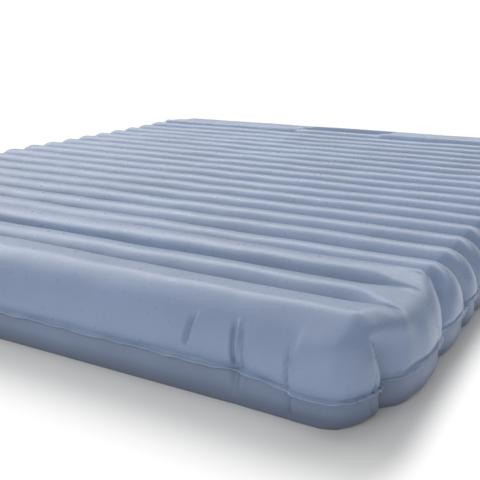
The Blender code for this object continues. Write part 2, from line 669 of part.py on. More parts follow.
# radius, height
PLUNGER = [(0.0, 0.0668), (0.0045, 0.0668), (0.0045, CPR_SEAT - GAP), (0.0116, CPR_SEAT - GAP),
           (0.0116, CPR_SEAT - 0.0028), (0.0030, CPR_SEAT - 0.0040),
           (0.0030, CPR_SEAT - 0.0090), (0.0, CPR_SEAT - 0.0090)]
turned("cpr_plunger", PLUNGER, (*CPR, 0), gasket_mat, 20)
coil("cpr_spring", CPR, radius=0.0052, wire=0.0006, z_low=CPR_BOTTOM + SPRING_RISE,
     z_high=CPR_SEAT - 0.0050, turns=4.0)

# ---------------------------------------------------------------- pump connection
SOCKET_TOP = 0.0905
SOCKET_FLANGE_T = 0.0025
NECK_Z0, NECK_Z1 = 0.0500, GASKET_Z0 + 0.001
BUTTON_Z = 0.0835
socket = box("port_socket", (0.0740, 0.0440, SOCKET_FLANGE_T),
             (0, BAY_Y, GASKET_Z0 + 0.5 * SOCKET_FLANGE_T), socket_mat)
join(socket,
     box("socket_block", (0.0680, 0.0310, SOCKET_TOP - GASKET_Z0),
         (0, BAY_Y, 0.5 * (SOCKET_TOP + GASKET_Z0))),
     box("socket_neck", (0.0560, 0.0340, NECK_Z1 - NECK_Z0), (0, BAY_Y, 0.5 * (NECK_Z1 + NECK_Z0))))

# air ports: sleeve and poppet as radius, height
SLEEVE = [(0.0090, SOCKET_TOP - 0.0005), (0.0090, 0.0480), (0.0045, 0.0480), (0.0045, 0.0400),
          (0.0030, 0.0400), (0.0030, 0.0500), (0.0065, 0.0500), (0.0065, 0.0620),
          (0.0045, 0.0620), (0.0045, 0.0640), (0.0065, 0.0640), (0.0065, SOCKET_TOP - 0.0005)]
POPPET = [(0.0, 0.0840), (0.0016, 0.0840), (0.0016, 0.0617), (0.0058, 0.0617),
          (0.0058, 0.0600), (0.0020, 0.0592), (0.0020, 0.0560), (0.0, 0.0560)]
for sign, tag in PORTS:
    port = (sign * PORT_X, BAY_Y)
    cut(socket, rod("sleeve_bore_" + tag, 0.00925, 0.10, (*port, 0.07), 'Z', segs=24))
    turned("port_sleeve_" + tag, SLEEVE, (*port, 0), sleeve_mat, 16)
    turned("port_poppet_" + tag, POPPET, (*port, 0), button_mat, 16)
    coil("port_spring_" + tag, port, radius=0.0036, wire=0.0004, z_low=0.0508, z_high=0.0586,
         turns=3.5)
    cut(socket, box("button_pocket_" + tag, (0.0160, 0.0130, 0.0080),
                    (sign * 0.0340, BAY_Y, BUTTON_Z)))

for sign, tag in SIDES:
    button = box("release_button_" + tag, (0.0084, 0.0122, 0.0072),
                 (sign * 0.0338, BAY_Y, BUTTON_Z), button_mat)
    edge_bevel = button.modifiers.new("edge", 'BEVEL')
    edge_bevel.width = 0.0006
    edge_bevel.segments = 1

# transport cap, hinged on a line parallel to X on the +Y side of the socket
LID_Y, LID_Z = BAY_Y + 0.0186, SOCKET_TOP + 0.0021
LID_HINGE = (0, LID_Y, LID_Z)
lid = box("transport_cap", (0.0560, 0.0330, 0.0030), (0, BAY_Y - 0.0005, SOCKET_TOP + GAP + 0.0015),
          cap_mat)
join(lid,
     box("lid_ear", (0.0290, 0.0040, 0.0026), (0, BAY_Y + 0.0170, SOCKET_TOP + GAP + 0.0014)),
     rod("lid_barrel", BARREL_R, 0.0300, LID_HINGE, 'X'))
cut(lid, rod("lid_pin_bore", PIN_BORE_R, 0.04, LID_HINGE, 'X'))
for sign, tag in SIDES:
    lug_x = sign * 0.0180
    hinge_lug(socket, "socket_", tag, (0.0037, 0.0060, 0.0070),
              (lug_x, LID_Y - 0.0013, LID_Z - 0.0031), (lug_x, LID_Y, LID_Z), 'X',
              round_length=0.0040, bore_length=0.008)
    # room in the lid for the lug
    cut(lid, box("lid_relief_" + tag, (0.0120, 0.0060, 0.02),
                 (sign * 0.0213, BAY_Y + 0.0162, SOCKET_TOP)))
rod("transport_cap_pin", PIN_R, 0.0408, LID_HINGE, 'X', screw_mat)
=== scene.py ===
"""Pressure relief mattress: the finished surfaces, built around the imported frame.

The mattress lies flat and centred on the origin: x runs across its width, y along its length from
the foot bolster (-y) to the head bolster (+y), and z up from the floor. The port bay, with its
valves and hose sockets, is sunk into the top near the head end.

The cover is laid out in pitches of the air cells. A "row" is a position along the length in
pitches, and a "turn" is how far round the rolled edge a point lies.
"""
import bpy
import bmesh
import math
import numpy as np
from types import SimpleNamespace
from mathutils import Matrix, Vector


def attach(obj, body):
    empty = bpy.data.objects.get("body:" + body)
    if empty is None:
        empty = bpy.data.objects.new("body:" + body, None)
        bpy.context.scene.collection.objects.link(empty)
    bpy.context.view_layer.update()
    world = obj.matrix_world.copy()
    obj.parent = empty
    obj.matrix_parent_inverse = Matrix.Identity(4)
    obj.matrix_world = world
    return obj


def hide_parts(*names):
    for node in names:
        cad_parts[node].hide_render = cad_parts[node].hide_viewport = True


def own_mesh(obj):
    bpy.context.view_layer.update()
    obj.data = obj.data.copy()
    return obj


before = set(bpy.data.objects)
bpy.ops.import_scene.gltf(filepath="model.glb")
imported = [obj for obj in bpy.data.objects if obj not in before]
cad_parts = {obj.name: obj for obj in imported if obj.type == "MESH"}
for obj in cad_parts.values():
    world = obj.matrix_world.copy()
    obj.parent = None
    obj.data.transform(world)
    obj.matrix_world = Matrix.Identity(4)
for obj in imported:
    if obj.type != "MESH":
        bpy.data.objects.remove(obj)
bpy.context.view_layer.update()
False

# ---------------------------------------------------------------- dimensions
PITCH = 0.085                       # one air cell along y, metres
# in pitches:
FOOT_ROW, HEAD_ROW = -0.13, 23.13   # ends of the mattress
MID_ROW = 0.5 * (FOOT_ROW + HEAD_ROW)
MIRROR = FOOT_ROW + HEAD_ROW        # MIRROR - row is the same place from the other end
CREST, SEAM = 1.50, 0.55            # heights of the ridges and of the weld
WALL_X, ROLL_X, ROLL_Y = 9.155, 0.655, 0.86   # half width, then reach of the rolled edges
TUCK_X, TUCK_Y = 0.04, 0.03         # how far the weld draws in under the roll
BULGE_Z = 0.68                      # height of the widest point
SPLIT = 0.84                        # turn at which the roll starts tucking in
GROOVE_TOP = 0.33                   # depth of the grooves between ridges
END_MARGIN = 0.78                   # first row of the flat top
TOP_LINE = WALL_X - ROLL_X          # half width of the flat top
GROOVES = np.array([k + 0.5 for k in range(1, 22)])
# in metres:
SHEET = 0.0012                      # cover thickness
GAP = 0.0003                        # clearance between touching parts
LIP = (0.5 * GAP + SHEET) / PITCH   # skin's offset from the weld plane, in pitches


def y_at(row):
    return (row - MID_ROW) * PITCH


BAY_Y = y_at(21.0)
BAY_FLOOR = 0.0700
SIDES = ((-1, "left"), (1, "right"))
PORTS = ((-1, "a"), (1, "b"))
PORT_X = 0.013                      # hose ports either side of the centre line


# ---------------------------------------------------------------- shaping functions
def ease(value, start, end):
    """Smooth step from 0 at start to 1 at end."""
    t = np.clip((np.asarray(value, float) - start) / (end - start), 0.0, 1.0)
    return t * t * (3.0 - 2.0 * t)


def bell(value, centre, width):
    return np.exp(-((np.asarray(value, float) - centre) / width) ** 2)


def fold(value, centre, width, depth, ridge_offset, ridge_share):
    """A crease with a lower ridge beside it."""
    return (-depth * bell(value, centre, width)
            + ridge_share * depth * bell(value, centre + ridge_offset, width))


def end_gap(row):
    """Rows counted from the nearer end."""
    return np.minimum(row, MIRROR - row)


def wavy(x, y, seed, octaves=((1.0, 1.0),)):
    """Smooth deterministic unevenness from summed sines; octaves are (frequency, amount)."""
    out = np.zeros(np.broadcast(x, y).shape)
    step = seed * 1.37
    for frequency, amount in octaves:
        for i in range(5):
            step += 1.0
            heading = (step * 2.399963) % (2 * math.pi)
            phase = (step * 5.1234) % (2 * math.pi)
            along = x * math.cos(heading) + y * math.sin(heading)
            out += amount * 0.4 * np.sin(frequency * (1.0 + 0.23 * i) * along + phase)
    return out


def arc_depth(t, fullness=0.88):
    """Depth of a rounded ridge's flank: 0 on the crest (t = 0), 1 in the groove (t = 1)."""
    return ((1.0 - np.sqrt(np.maximum(0.0, 1.0 - fullness * t * t)))
            / (1.0 - math.sqrt(1.0 - fullness)))


# ---------------------------------------------------------------- cover surface, in pitches
def crest_height(row, x):
    # small differences in height between the ridges, foot half then head half
    foot = (0.06 * (1 - ease(row, 1.3, 1.7))
            + 0.03 * ease(row, 1.3, 1.7) * (1 - ease(row, 3.3, 3.7))
            + 0.07 * ease(row, 2.3, 3.05) * (1 - ease(row, 3.3, 3.7)))
    beside_bay = ease(np.abs(x), 1.75, 2.1)
    head = ((0.015 + 0.065 * beside_bay) * ease(row, 19.4, 19.7) * (1 - ease(row, 20.3, 20.6))
            + 0.04 * ease(-x, 2.0, 3.5) * ease(row, 18.4, 18.7) * (1 - ease(row, 19.3, 19.6))
            - 0.05 * ease(row, 21.3, 21.7) - 0.14 * np.maximum(0.0, row - 21.7))
    return CREST + np.where(row > MID_ROW, head, foot)


def top_groove(row, x):
    gap = end_gap(row)
    half_ridge = np.clip((gap - 1.05) / (GROOVES[0] - 1.05), 0, 1)
    cell = np.clip(np.searchsorted(GROOVES, row) - 1, 0, len(GROOVES) - 2)
    start, end = GROOVES[cell], GROOVES[cell + 1]
    across = np.abs(np.clip(2.0 * (row - start) / (end - start) - 1.0, -1, 1))
    across = np.where((row > 2.5) & (row < 3.0), across ** 2.4, across)
    depth = GROOVE_TOP * np.where(gap <= GROOVES[0], arc_depth(half_ridge), arc_depth(across))
    # the last three ridges run out into one rounded shoulder at the corners
    depth = depth * (1.0 - 0.34 * ease(gap, 1.9, 2.4) * (1.0 - ease(gap, 2.7, 3.2)))
    fade = ease(np.abs(x), 7.70, 8.66) * (1.0 - ease(gap, 3.0, 3.25))
    depth = np.maximum(depth * (1.0 - 0.56 * fade), fade * 0.075 * ease(gap, 1.0, 1.7))
    # inside the port bay's gap the head bolster rises steeply
    out = np.abs(x) * PITCH
    outside = ease(out, 0.15, 0.18)
    steep = GROOVE_TOP * (1.0 - ease(row, 21.47, 21.78)) * (1 - outside) + depth * outside
    return np.where((out < 0.18) & (row > 21.5) & (row < 22.0), steep, depth)


def side_lines(down):
    """Rows of the side wall's grooves; down runs 0 at the shoulder to 1 at the weld."""
    down = np.asarray(down, float)
    foot = [0.47 + 0.30 * down, 3.5 - 0.45 * ease(down, 0.25, 1.0) ** 0.8,
            4.5 + 0.13 * down, 5.5 + 0.04 * down]
    middle = [np.full(np.shape(down), k + 0.5) for k in range(6, 17)]
    return foot + middle + [MIRROR - line for line in reversed(foot)]


# (depth, share lost at the weld, share lost at the floor), counted from each end; last repeats
LINE_DEPTHS = ((0.33, 0.13, 0.50), (0.30, 0.40, 0.75), (0.26, 0.66, 0.80))


def line_depth(index, last, down, weld, low):
    """Depth of one side line; weld is 1 on the weld, low is 1 at the floor."""
    rank = min(index, last - index, 2)
    depth, weld_loss, floor_loss = LINE_DEPTHS[rank]
    if rank == 0:
        depth = depth * ease(down, 0.30, 0.66)
    return depth * (1.0 - weld_loss * weld) * (1 - floor_loss * low)


def side_groove(row, down, weld=0.0, low=0.0):
    lines = side_lines(down)
    last = len(lines) - 1
    out = np.zeros(np.broadcast(row, down).shape)
    # run-in to the outermost line at both ends
    for from_end in (row, MIRROR - row):
        t = np.clip((from_end - (lines[0] - 0.30)) / 0.30, 0, 1)
        depth = line_depth(0, last, down, weld, low) * arc_depth(t ** 1.2, 0.93)
        out = np.where(from_end <= lines[0], depth, out)
    for i in range(last):
        start, end = lines[i], lines[i + 1]
        t = np.clip(2.0 * (row - start) / (end - start) - 1.0, -1, 1)
        depth = np.where(t < 0, line_depth(i, last, down, weld, low),
                         line_depth(i + 1, last, down, weld, low))
        if i in (0, last - 1):
            # the long end lobes are steep towards the middle of the mattress
            inner = (t > 0) if i == 0 else (t < 0)
            depth = depth * np.abs(t) ** np.where(inner, 4.0, 1.5)
        else:
            depth = depth * arc_depth(np.abs(t) ** 1.15)
        out = np.where((row >= start) & (row <= end), depth, out)
    return out


def plan_inset(gap, down):
    """How far the sides draw in near each end."""
    down = np.clip(down, 0, 1)
    start, end = 0.50 - 0.05 * down, 1.50 - 0.25 * down
    t = np.clip((gap - start) / (end - start), 0, 1)
    return (0.28 + 0.08 * ease(down, 0.4, 1.0)) * (1.0 - t * t * (3 - 2 * t))


def upper_profile(turn):
    """Reach in x, reach in y and height share; turn runs 0 at the top to 1 at the weld."""
    bulge = (BULGE_Z - SEAM) / (CREST - SEAM)
    angle = 0.5 * math.pi * np.clip(turn / SPLIT, 0, 1)
    power = 2 / 1.72
    out = np.sin(angle) ** power
    rise = np.maximum(0.0, np.cos(angle)) ** power
    t = np.clip((turn - SPLIT) / (1 - SPLIT), 0, 1)
    tuck = ease(t, 0.0, 1.0)
    height = np.where(turn <= SPLIT, bulge + (1 - bulge) * rise, bulge * (1 - t) ** 1.35)
    return ROLL_X * out - TUCK_X * tuck, ROLL_Y * out - TUCK_Y * tuck, height


def lower_profile(down):
    """Reach in x, reach in y and height share; down runs 0 at the weld to 1 at the floor."""
    belly = 0.5 * math.pi * np.clip(down / 0.45, 0, 1)
    under = 0.5 * math.pi * np.clip((down - 0.45) / 0.55, 0, 1)
    height = np.where(down <= 0.45, 1 - 0.60 * (1 - np.cos(belly)), 0.40 * (1 - np.sin(under)))
    return (ROLL_X - TUCK_X + 0.02 * np.sin(belly) - 0.165 * (1 - np.cos(under)),
            ROLL_Y - TUCK_Y + 0.065 * np.sin(belly) ** 1.5, height)


def end_swing(x, angle):
    """Outward swing of the end walls near each corner."""
    out = np.abs(x)
    swing = (-0.05 * bell(out, 6.66, 0.10) + 0.04 * ease(out, 6.78, 6.98)
             + 0.07 * ease(out, 6.95, 7.6) + 0.07 * ease(out, 7.62, 7.70)
             - 0.02 * ease(out, 8.0, 8.3))
    return swing * np.sin(angle) ** 0.8


# (from x, to x, step) across the half width; later bands override earlier ones
COLUMN_STEPS = ((1.50, 2.50, 0.085), (5.50, 8.20, 0.045), (5.58, 5.86, 0.018),
                (6.40, 6.92, 0.018), (7.46, 7.70, 0.018), (1.70, 1.92, 0.030))


def column_positions():
    xs = [0.0]
    while xs[-1] < TOP_LINE - 1e-6:
        x = xs[-1]
        step = 0.16
        for start, end, band_step in COLUMN_STEPS:
            if start <= x < end:
                step = band_step
        xs.append(min(TOP_LINE, x + step))
    if TOP_LINE - xs[-2] < 0.02:
        xs.pop(-2)
    return [-x for x in reversed(xs[1:])] + xs


def row_positions():
    rows = list(np.linspace(END_MARGIN, GROOVES[0], 18))
    # rows crowd towards the grooves
    spread = (np.sin(np.linspace(-0.5 * math.pi, 0.5 * math.pi, 17)) * 0.55
              + np.linspace(-1, 1, 17) * 0.45)
    for start, end in zip(GROOVES[:-1], GROOVES[1:]):
        if start > 20.0:
            # the port bay needs close, even rows
            cell = np.linspace(start, end, 41)
        else:
            cell = 0.5 * (start + end) + 0.5 * (end - start) * spread
        rows += list(cell[1:])
    return rows + list(np.linspace(GROOVES[-1], MIRROR - END_MARGIN, 18)[1:])


def stations(turns, middle):
    """Grid lines from edge to edge as (side, turn, position on the flat, flange share)."""
    return np.array([(-1, 1.0, 0.0, share) for share in (1.0, 0.5)]
                    + [(-1, turn, 0.0, 0.0) for turn in reversed(turns)]
                    + [(0, 0.0, place, 0.0) for place in middle]
                    + [(1, turn, 0.0, 0.0) for turn in turns]
                    + [(1, 1.0, 0.0, share) for share in (0.5, 1.0)])


def corner_angle(turn_x, turn_y):
    """Direction round a corner: 0 towards the side, a quarter turn towards the end."""
    larger = np.maximum(np.maximum(turn_x, turn_y), 1e-9)
    return np.where(turn_x >= turn_y, 0.25 * math.pi * turn_y / larger,
                    0.5 * math.pi - 0.25 * math.pi * turn_x / larger)


def skin_grid(turns):
    columns = stations(turns, column_positions())
    rows = stations(turns, row_positions())
    full = np.ones((len(rows), len(columns)))
    side_x, turn_x, mid_x, flange_x = [columns[None, :, i] * full for i in range(4)]
    side_y, turn_y, mid_row, flange_y = [rows[:, None, i] * full for i in range(4)]
    end_row = np.where(side_y < 0, END_MARGIN, MIRROR - END_MARGIN)
    return SimpleNamespace(
        side_x=side_x, side_y=side_y, mid_x=mid_x,
        row=np.where(side_y == 0, mid_row, end_row),
        flange=np.maximum(flange_x, flange_y), turn=np.maximum(turn_x, turn_y),
        angle=corner_angle(turn_x, turn_y),
        end_wall=side_y != 0, side_wall=(side_x != 0) & (side_y == 0),
        corner=(side_x != 0) & (side_y != 0))


def plan_position(grid, reach_x, reach_y, inset_down, flange_scale):
    """x and row of every point, and its row without the flange."""
    # the weld's free edge is narrower across the ends than along the sides
    flange = flange_scale * grid.flange * np.where(grid.end_wall, 0.075, 0.085)
    outward = grid.side_y * np.sin(grid.angle)
    row = grid.row + outward * (reach_y + flange)
    wall_row = grid.row + outward * reach_y
    line = TOP_LINE - plan_inset(end_gap(wall_row), inset_down)
    x = np.where(grid.side_x != 0,
                 grid.side_x * (line + np.cos(grid.angle) * (reach_x + flange)),
                 grid.mid_x * line / TOP_LINE)
    return x, row, wall_row


def weld_edge(grid, x, row, lift):
    """Flange shape: x with its tips, the corner sag, the small wave and the weld's height."""
    wave = (0.010 * np.sin(x * 3.1 + row * 2.3) + 0.008 * np.sin(x * 7.7 - row * 6.1 + 1.0)
            + 0.006 * np.sin(x * 13.0 + row * 15.0))
    gap = end_gap(row)
    tips = grid.side_wall * (0.09 * bell(gap, 0.56, 0.07)
                             + 0.05 * (bell(gap, 3.05, 0.07) + bell(gap, 4.52, 0.06)))
    x = x + grid.side_x * tips * grid.flange
    near_end = np.where(grid.end_wall, 1.0, ease(-gap, -1.6, -0.6))
    sag = -0.06 * ease(np.abs(x), 7.2, 8.2) * near_end
    droop = 0.012 * grid.flange * (1 - ease(tips, 0.0, 0.03))
    height = (SEAM + lift + wave * (0.35 + grid.flange) + tips * 0.8 * grid.flange
              + sag - droop)
    return x, sag, wave, height


def grid_normals(points):
    normals = np.cross(np.gradient(points, axis=1), np.gradient(points, axis=0))
    length = np.linalg.norm(normals, axis=2, keepdims=True)
    return normals / np.maximum(length, 1e-12)


# End wall puckers: x and turn at the upper end, x and turn at the lower end, width, depth,
# ridge offset, ridge height, fade-in, fade-out, strength on the -x side
END_PUCKERS = (
    (5.75, 0.42, 5.70, 0.72, 0.045, 0.095, 0.090, 0.026, 0.03, 0.08, 0.8),
    (6.50, 0.42, 6.66, 1.05, 0.036, 0.074, 0.085, 0.040, 0.03, 0.25, 0.9),
    (6.67, 0.45, 6.80, 1.05, 0.026, 0.050, 0.070, 0.014, 0.03, 0.40, 0.7),
    (7.52, 0.52, 7.61, 0.90, 0.024, 0.065, 0.052, 0.030, 0.04, 0.12, 0.9),
)
# (centre, width, depth, turn where it appears): rows from the end, then corner angles
UPPER_SIDE_FOLDS = ((0.30, 0.050, 0.030, 0.62), (1.05, 0.050, 0.016, 0.70),
                    (2.35, 0.050, 0.010, 0.62), (2.85, 0.045, 0.016, 0.66))
UPPER_CORNER_FOLDS = ((0.18, 0.05, 0.035, 0.52), (0.36, 0.05, 0.022, 0.60),
                      (0.95, 0.06, 0.010, 0.66))


def upper_relief(grid, x, row, side_share):
    """Small relief of the upper skin along its normal, in pitches."""
    out, turn = np.abs(x), grid.turn
    relief = np.zeros_like(x)
    for (x_a, turn_a, x_b, turn_b, width, depth, ridge, rise,
         fade_in, fade_out, mirrored) in END_PUCKERS:
        centre = x_a + (x_b - x_a) * np.clip((turn - turn_a) / (turn_b - turn_a), -0.3, 1.3)
        window = (ease(turn, turn_a - fade_in, turn_a + 0.10)
                  * (1 - ease(turn, turn_b - 0.02, turn_b + fade_out))
                  * (1 - ease(turn, 0.90, 1.0) * 0.85))
        relief += (grid.end_wall * window * np.where(x > 0, 1.0, mirrored)
                   * (-depth * bell(out - centre, 0, width)
                      + rise * bell(out - centre, ridge, width * 0.8)))
    # the corner lobe swells below the shoulder
    relief += (grid.end_wall * 0.050 * bell(out, 8.12, 0.34) * bell(turn, 0.51, 0.15)
               * np.sin(grid.angle))
    # folds that rise from the corner notch
    gap = end_gap(row)
    for centre, width, depth, start in UPPER_SIDE_FOLDS:
        relief += (grid.side_wall * ease(turn, start - 0.12, start + 0.12)
                   * fold(gap, centre + 0.15 * (turn - 0.8), width, depth, 0.10, 0.4))
    for centre, width, depth, start in UPPER_CORNER_FOLDS:
        relief += (grid.corner * ease(turn, start - 0.14, start + 0.14)
                   * fold(grid.angle, centre, width, depth, 0.09, 0.45))
    # small puckers along the weld root
    root = ease(turn, 0.55, 0.95) * (1 - ease(turn, 0.97, 1.0))
    relief += root * (
        0.0045 * np.sin(x * 9.0 + 2.0 * np.sin(x * 2.3)) * grid.end_wall
        + 0.004 * np.sin(row * 11.0 + 2.0 * np.sin(row * 1.9)) * grid.side_wall)
    # broad unevenness of the inflated skin
    relief += ((1 - ease(turn, 0.97, 1.0)) * 0.010
               * wavy(x * 0.9, row * 1.9, 3, ((1.0, 1.0), (2.6, 0.45))))
    # fine cross puckers that gather at the grooves
    depth = top_groove(grid.row, x) / GROOVE_TOP
    on_top = np.where(grid.end_wall, 0.0, 1.0) * (1 - side_share)
    relief += (on_top * depth ** 1.5 * 0.010
               * wavy(x * 5.0, grid.row * 2.0, 7, ((1.0, 1.0), (2.2, 0.5))))
    return relief


def recess_bay(points):
    """Sinks the port bay into the points (metres) and returns the mask of its opening."""
    out, along = np.abs(points[..., 0]), np.abs(points[..., 1] - BAY_Y)
    z = points[..., 2]
    groove_z = (CREST - GROOVE_TOP) * PITCH
    # the last ridge stops short on both sides, with a domed end
    end = ease(out, 0.1560, 0.1860)
    dome = np.sqrt(np.clip(end * (2 - end), 0, 1))
    domed = (along < 0.0427) & (out < 0.19) & (out > 0.1555)
    z = np.where(domed, np.minimum(z, groove_z + (z - groove_z) * dome), z)
    # the ledge round the bay rests on top of the pocket's rim
    z = np.where((out < 0.166) & (along < 0.0450), np.maximum(z, 0.0991), z)
    # steep walls down to just above the bay floor
    wall = np.maximum(ease(out, 0.1520, 0.1565), ease(along, 0.0362, 0.0388))
    floor = BAY_FLOOR + 0.0002
    pit = (out < 0.1566) & (along < 0.0390)
    points[..., 2] = np.where(pit, floor + (np.minimum(z, groove_z) - floor) * wall, z)
    return (out < 0.146) & (along < 0.0335)


def upper_skin():
    """Points in metres, mask of the opening, and point attributes."""
    grid = skin_grid([*np.linspace(0, 0.72, 20)[1:], *np.linspace(0.72, 1.0, 9)[1:]])
    turn, beyond_top = grid.turn, grid.side_x != 0
    reach_x, reach_y, rise = upper_profile(turn)
    x, row, wall_row = plan_position(grid, reach_x, reach_y, turn, 1.0)
    z = SEAM + LIP + (crest_height(grid.row, x) - SEAM - LIP) * rise
    # the top's grooves hand over to the side wall's lines across the shoulder
    side_share = np.where(beyond_top, ease(turn, 0.08, 0.42), 0.0)
    run = 1.0 - ease(end_gap(wall_row), 3.0, 3.25)
    top_loss = np.where(beyond_top, ease(turn, 0.08 - 0.06 * run, 0.42 + 0.02 * run), 0.0)
    groove = (np.where(grid.end_wall, 0.0, (1 - top_loss) * top_groove(grid.row, x))
              + side_share * side_groove(wall_row, turn, ease(turn, 0.76, 1.0)))
    lean = 0.5 * math.pi * np.clip(turn / 0.60, 0, 1) * beyond_top
    x = x - grid.side_x * np.sin(lean) * groove
    z = z - np.cos(lean) * groove
    swing = end_swing(x, grid.angle)
    swing_share = np.where(swing < 0, ease(turn, 0.6, 1.0), ease(turn, 0.18, 0.88))
    row = row + grid.side_y * swing * swing_share
    # flange and root sit on the weld plane
    x, sag, wave, weld_z = weld_edge(grid, x, row, LIP)
    z = np.where(turn >= 1.0, weld_z,
                 z + sag * ease(turn, 0.5, 1.0) + 0.35 * wave * ease(turn, 0.85, 1.0))
    points = np.stack([x * PITCH, y_at(row), z * PITCH], axis=2)
    relief = upper_relief(grid, x, row, side_share) * PITCH
    points = points + grid_normals(points) * relief[..., None]
    opening = recess_bay(points)
    # masks for the fabric's painted shade in the grooves and painted highlight on the weld
    shade = np.clip(np.where(grid.end_wall, 0, groove / GROOVE_TOP), 0, 1)
    return points, opening, {"groove": shade, "weld": ease(turn, 0.93, 1.0)}


# (centre, width, depth) of the lower skin's folds: x, rows from the end, corner angle
LOWER_END_FOLDS = ((6.67, 0.060, 0.045), (6.82, 0.045, 0.030), (7.63, 0.035, 0.040))
LOWER_SIDE_FOLDS = ((0.42, 0.05, 0.04), (0.60, 0.05, 0.045))
LOWER_CORNER_FOLDS = ((0.16, 0.06, 0.035), (0.40, 0.06, 0.02))


def lower_relief(grid, x, row):
    """Small relief of the lower skin along its normal, in pitches."""
    turn = grid.turn
    relief = np.zeros_like(x)
    weld_fade = 1 - 0.6 * ease(turn, 0.95, 1.0)
    high = ease(turn, 0.35, 0.75) * weld_fade
    wide = ease(turn, 0.10, 0.5) * weld_fade
    for (centre, width, depth), window, mirrored in zip(
            LOWER_END_FOLDS, (high, high, wide), (0.9, 0.7, 0.9)):
        relief += (grid.end_wall * window * np.where(x > 0, 1.0, mirrored)
                   * fold(np.abs(x), centre, width, depth, 0.09, 0.4))
    for centre, width, depth in LOWER_SIDE_FOLDS:
        relief += grid.side_wall * wide * fold(end_gap(row), centre, width, depth, 0.08, 0.4)
    for centre, width, depth in LOWER_CORNER_FOLDS:
        relief += grid.corner * wide * fold(grid.angle, centre, width, depth, 0.10, 0.4)
    relief += (ease(turn, 0.15, 0.5) * (1 - ease(turn, 0.97, 1.0)) * 0.006
               * wavy(x * 1.3, row * 1.9, 5, ((1.0, 1.0), (3.0, 0.5))))
    return relief


def lower_skin():
    """Points in metres and point attributes; here turn runs 0 at the floor to 1 at the weld."""
    grid = skin_grid([0.0005, *np.linspace(0, 1.0, 22)[1:]])
    turn = grid.turn
    reach_x, reach_y, rise = lower_profile(1.0 - turn)
    x, row, wall_row = plan_position(grid, reach_x, reach_y, 1.0, 0.6)
    z = (SEAM - LIP) * rise
    x = x - grid.side_x * side_groove(wall_row, np.ones_like(turn), ease(turn, 0.55, 1.0),
                                      ease(1.0 - turn, 0.25, 1.0))
    follow = 0.15 + 0.85 * ease(turn, 0.30, 1.0)
    row = row + grid.side_y * end_swing(x, grid.angle) * follow
    x, sag, wave, weld_z = weld_edge(grid, x, row, -LIP)
    z = np.where(turn >= 1.0, weld_z,
                 z + sag * turn * turn + 0.35 * wave * ease(turn, 0.7, 1.0))
    points = np.stack([x * PITCH, y_at(row), z * PITCH], axis=2)
    relief = lower_relief(grid, x, row) * PITCH
    points = points - grid_normals(points) * relief[..., None]
    points[..., 2] = np.maximum(points[..., 2], 0.0)
    # the weld mask drives the painted highlight on the weld
    return points, {"groove": np.zeros_like(turn), "weld": ease(turn, 0.85, 1.0)}


# ---------------------------------------------------------------- shader helpers
def new_mat(name):
    mat = bpy.data.materials.new(name)
    mat.use_nodes = True
    return mat, mat.node_tree, mat.node_tree.nodes["Principled BSDF"]


def add_node(tree, kind, **values):
    """New node; each value sets the input of that name, or else the property."""
    node = tree.nodes.new(kind)
    for key, value in values.items():
        if key in node.inputs:
            node.inputs[key].default_value = value
        else:
            setattr(node, key, value)
    return node


def set_inputs(node, values):
    for key, value in values.items():
        node.inputs[key].default_value = value


def math_node(tree, operation, first, second=None, clamp=False):
    node = add_node(tree, "ShaderNodeMath", operation=operation, use_clamp=clamp)
    for i, value in enumerate((first, second)):
        if isinstance(value, (int, float)):
            node.inputs[i].default_value = value
        elif value is not None:
            tree.links.new(value, node.inputs[i])
    return node.outputs[0]


def vector_node(tree, operation, source, constant=None):
    node = add_node(tree, "ShaderNodeVectorMath", operation=operation)
    tree.links.new(source, node.inputs[0])
    if constant:
        node.inputs[1].default_value = constant
    return node


def map_range(tree, value, source=(0.0, 1.0), target=(0.0, 1.0), smooth=False):
    node = add_node(tree, "ShaderNodeMapRange")
    if smooth:
        node.interpolation_type = 'SMOOTHSTEP'
    set_inputs(node, {"From Min": source[0], "From Max": source[1],
                      "To Min": target[0], "To Max": target[1]})
    tree.links.new(value, node.inputs["Value"])
    return node.outputs["Result"]


def noise(tree, coords, scale, detail, roughness=0.5):
    node = add_node(tree, "ShaderNodeTexNoise", Scale=scale, Detail=detail, Roughness=roughness)
    tree.links.new(coords, node.inputs["Vector"])
    return node.outputs["Fac"]


def ramp(tree, value, low, high):
    """Colour ramp between two (position, colour) stops."""
    node = add_node(tree, "ShaderNodeValToRGB")
    for element, (position, colour) in zip(node.color_ramp.elements, (low, high)):
        element.position = position
        element.color = (*colour, 1.0)
    tree.links.new(value, node.inputs["Fac"])
    return node.outputs["Color"]


def mix_colour(tree, factor, first, colour):
    node = add_node(tree, "ShaderNodeMix", data_type='RGBA', blend_type='MIX')
    tree.links.new(factor, node.inputs[0])
    tree.links.new(first, node.inputs[6])
    node.inputs[7].default_value = (*colour, 1)
    return node.outputs[2]


def bump(tree, height, strength, distance, normal=None):
    node = add_node(tree, "ShaderNodeBump", Strength=strength, Distance=distance)
    tree.links.new(height, node.inputs["Height"])
    if normal:
        tree.links.new(normal, node.inputs["Normal"])
    return node


def crossed_waves(tree, coords, pitch):
    split = add_node(tree, "ShaderNodeSeparateXYZ")
    tree.links.new(coords, split.inputs[0])
    waves = [math_node(tree, 'SINE',
                       math_node(tree, 'MULTIPLY', split.outputs[i], 2 * math.pi / pitch))
             for i in (0, 1)]
    return math_node(tree, 'MULTIPLY', *waves)


def scaled(colour, *factors):
    """Colour times one factor, or one factor per channel, capped at 1."""
    if len(factors) == 1:
        factors = factors * 3
    return tuple(min(1.0, c * factor) for c, factor in zip(colour, factors))


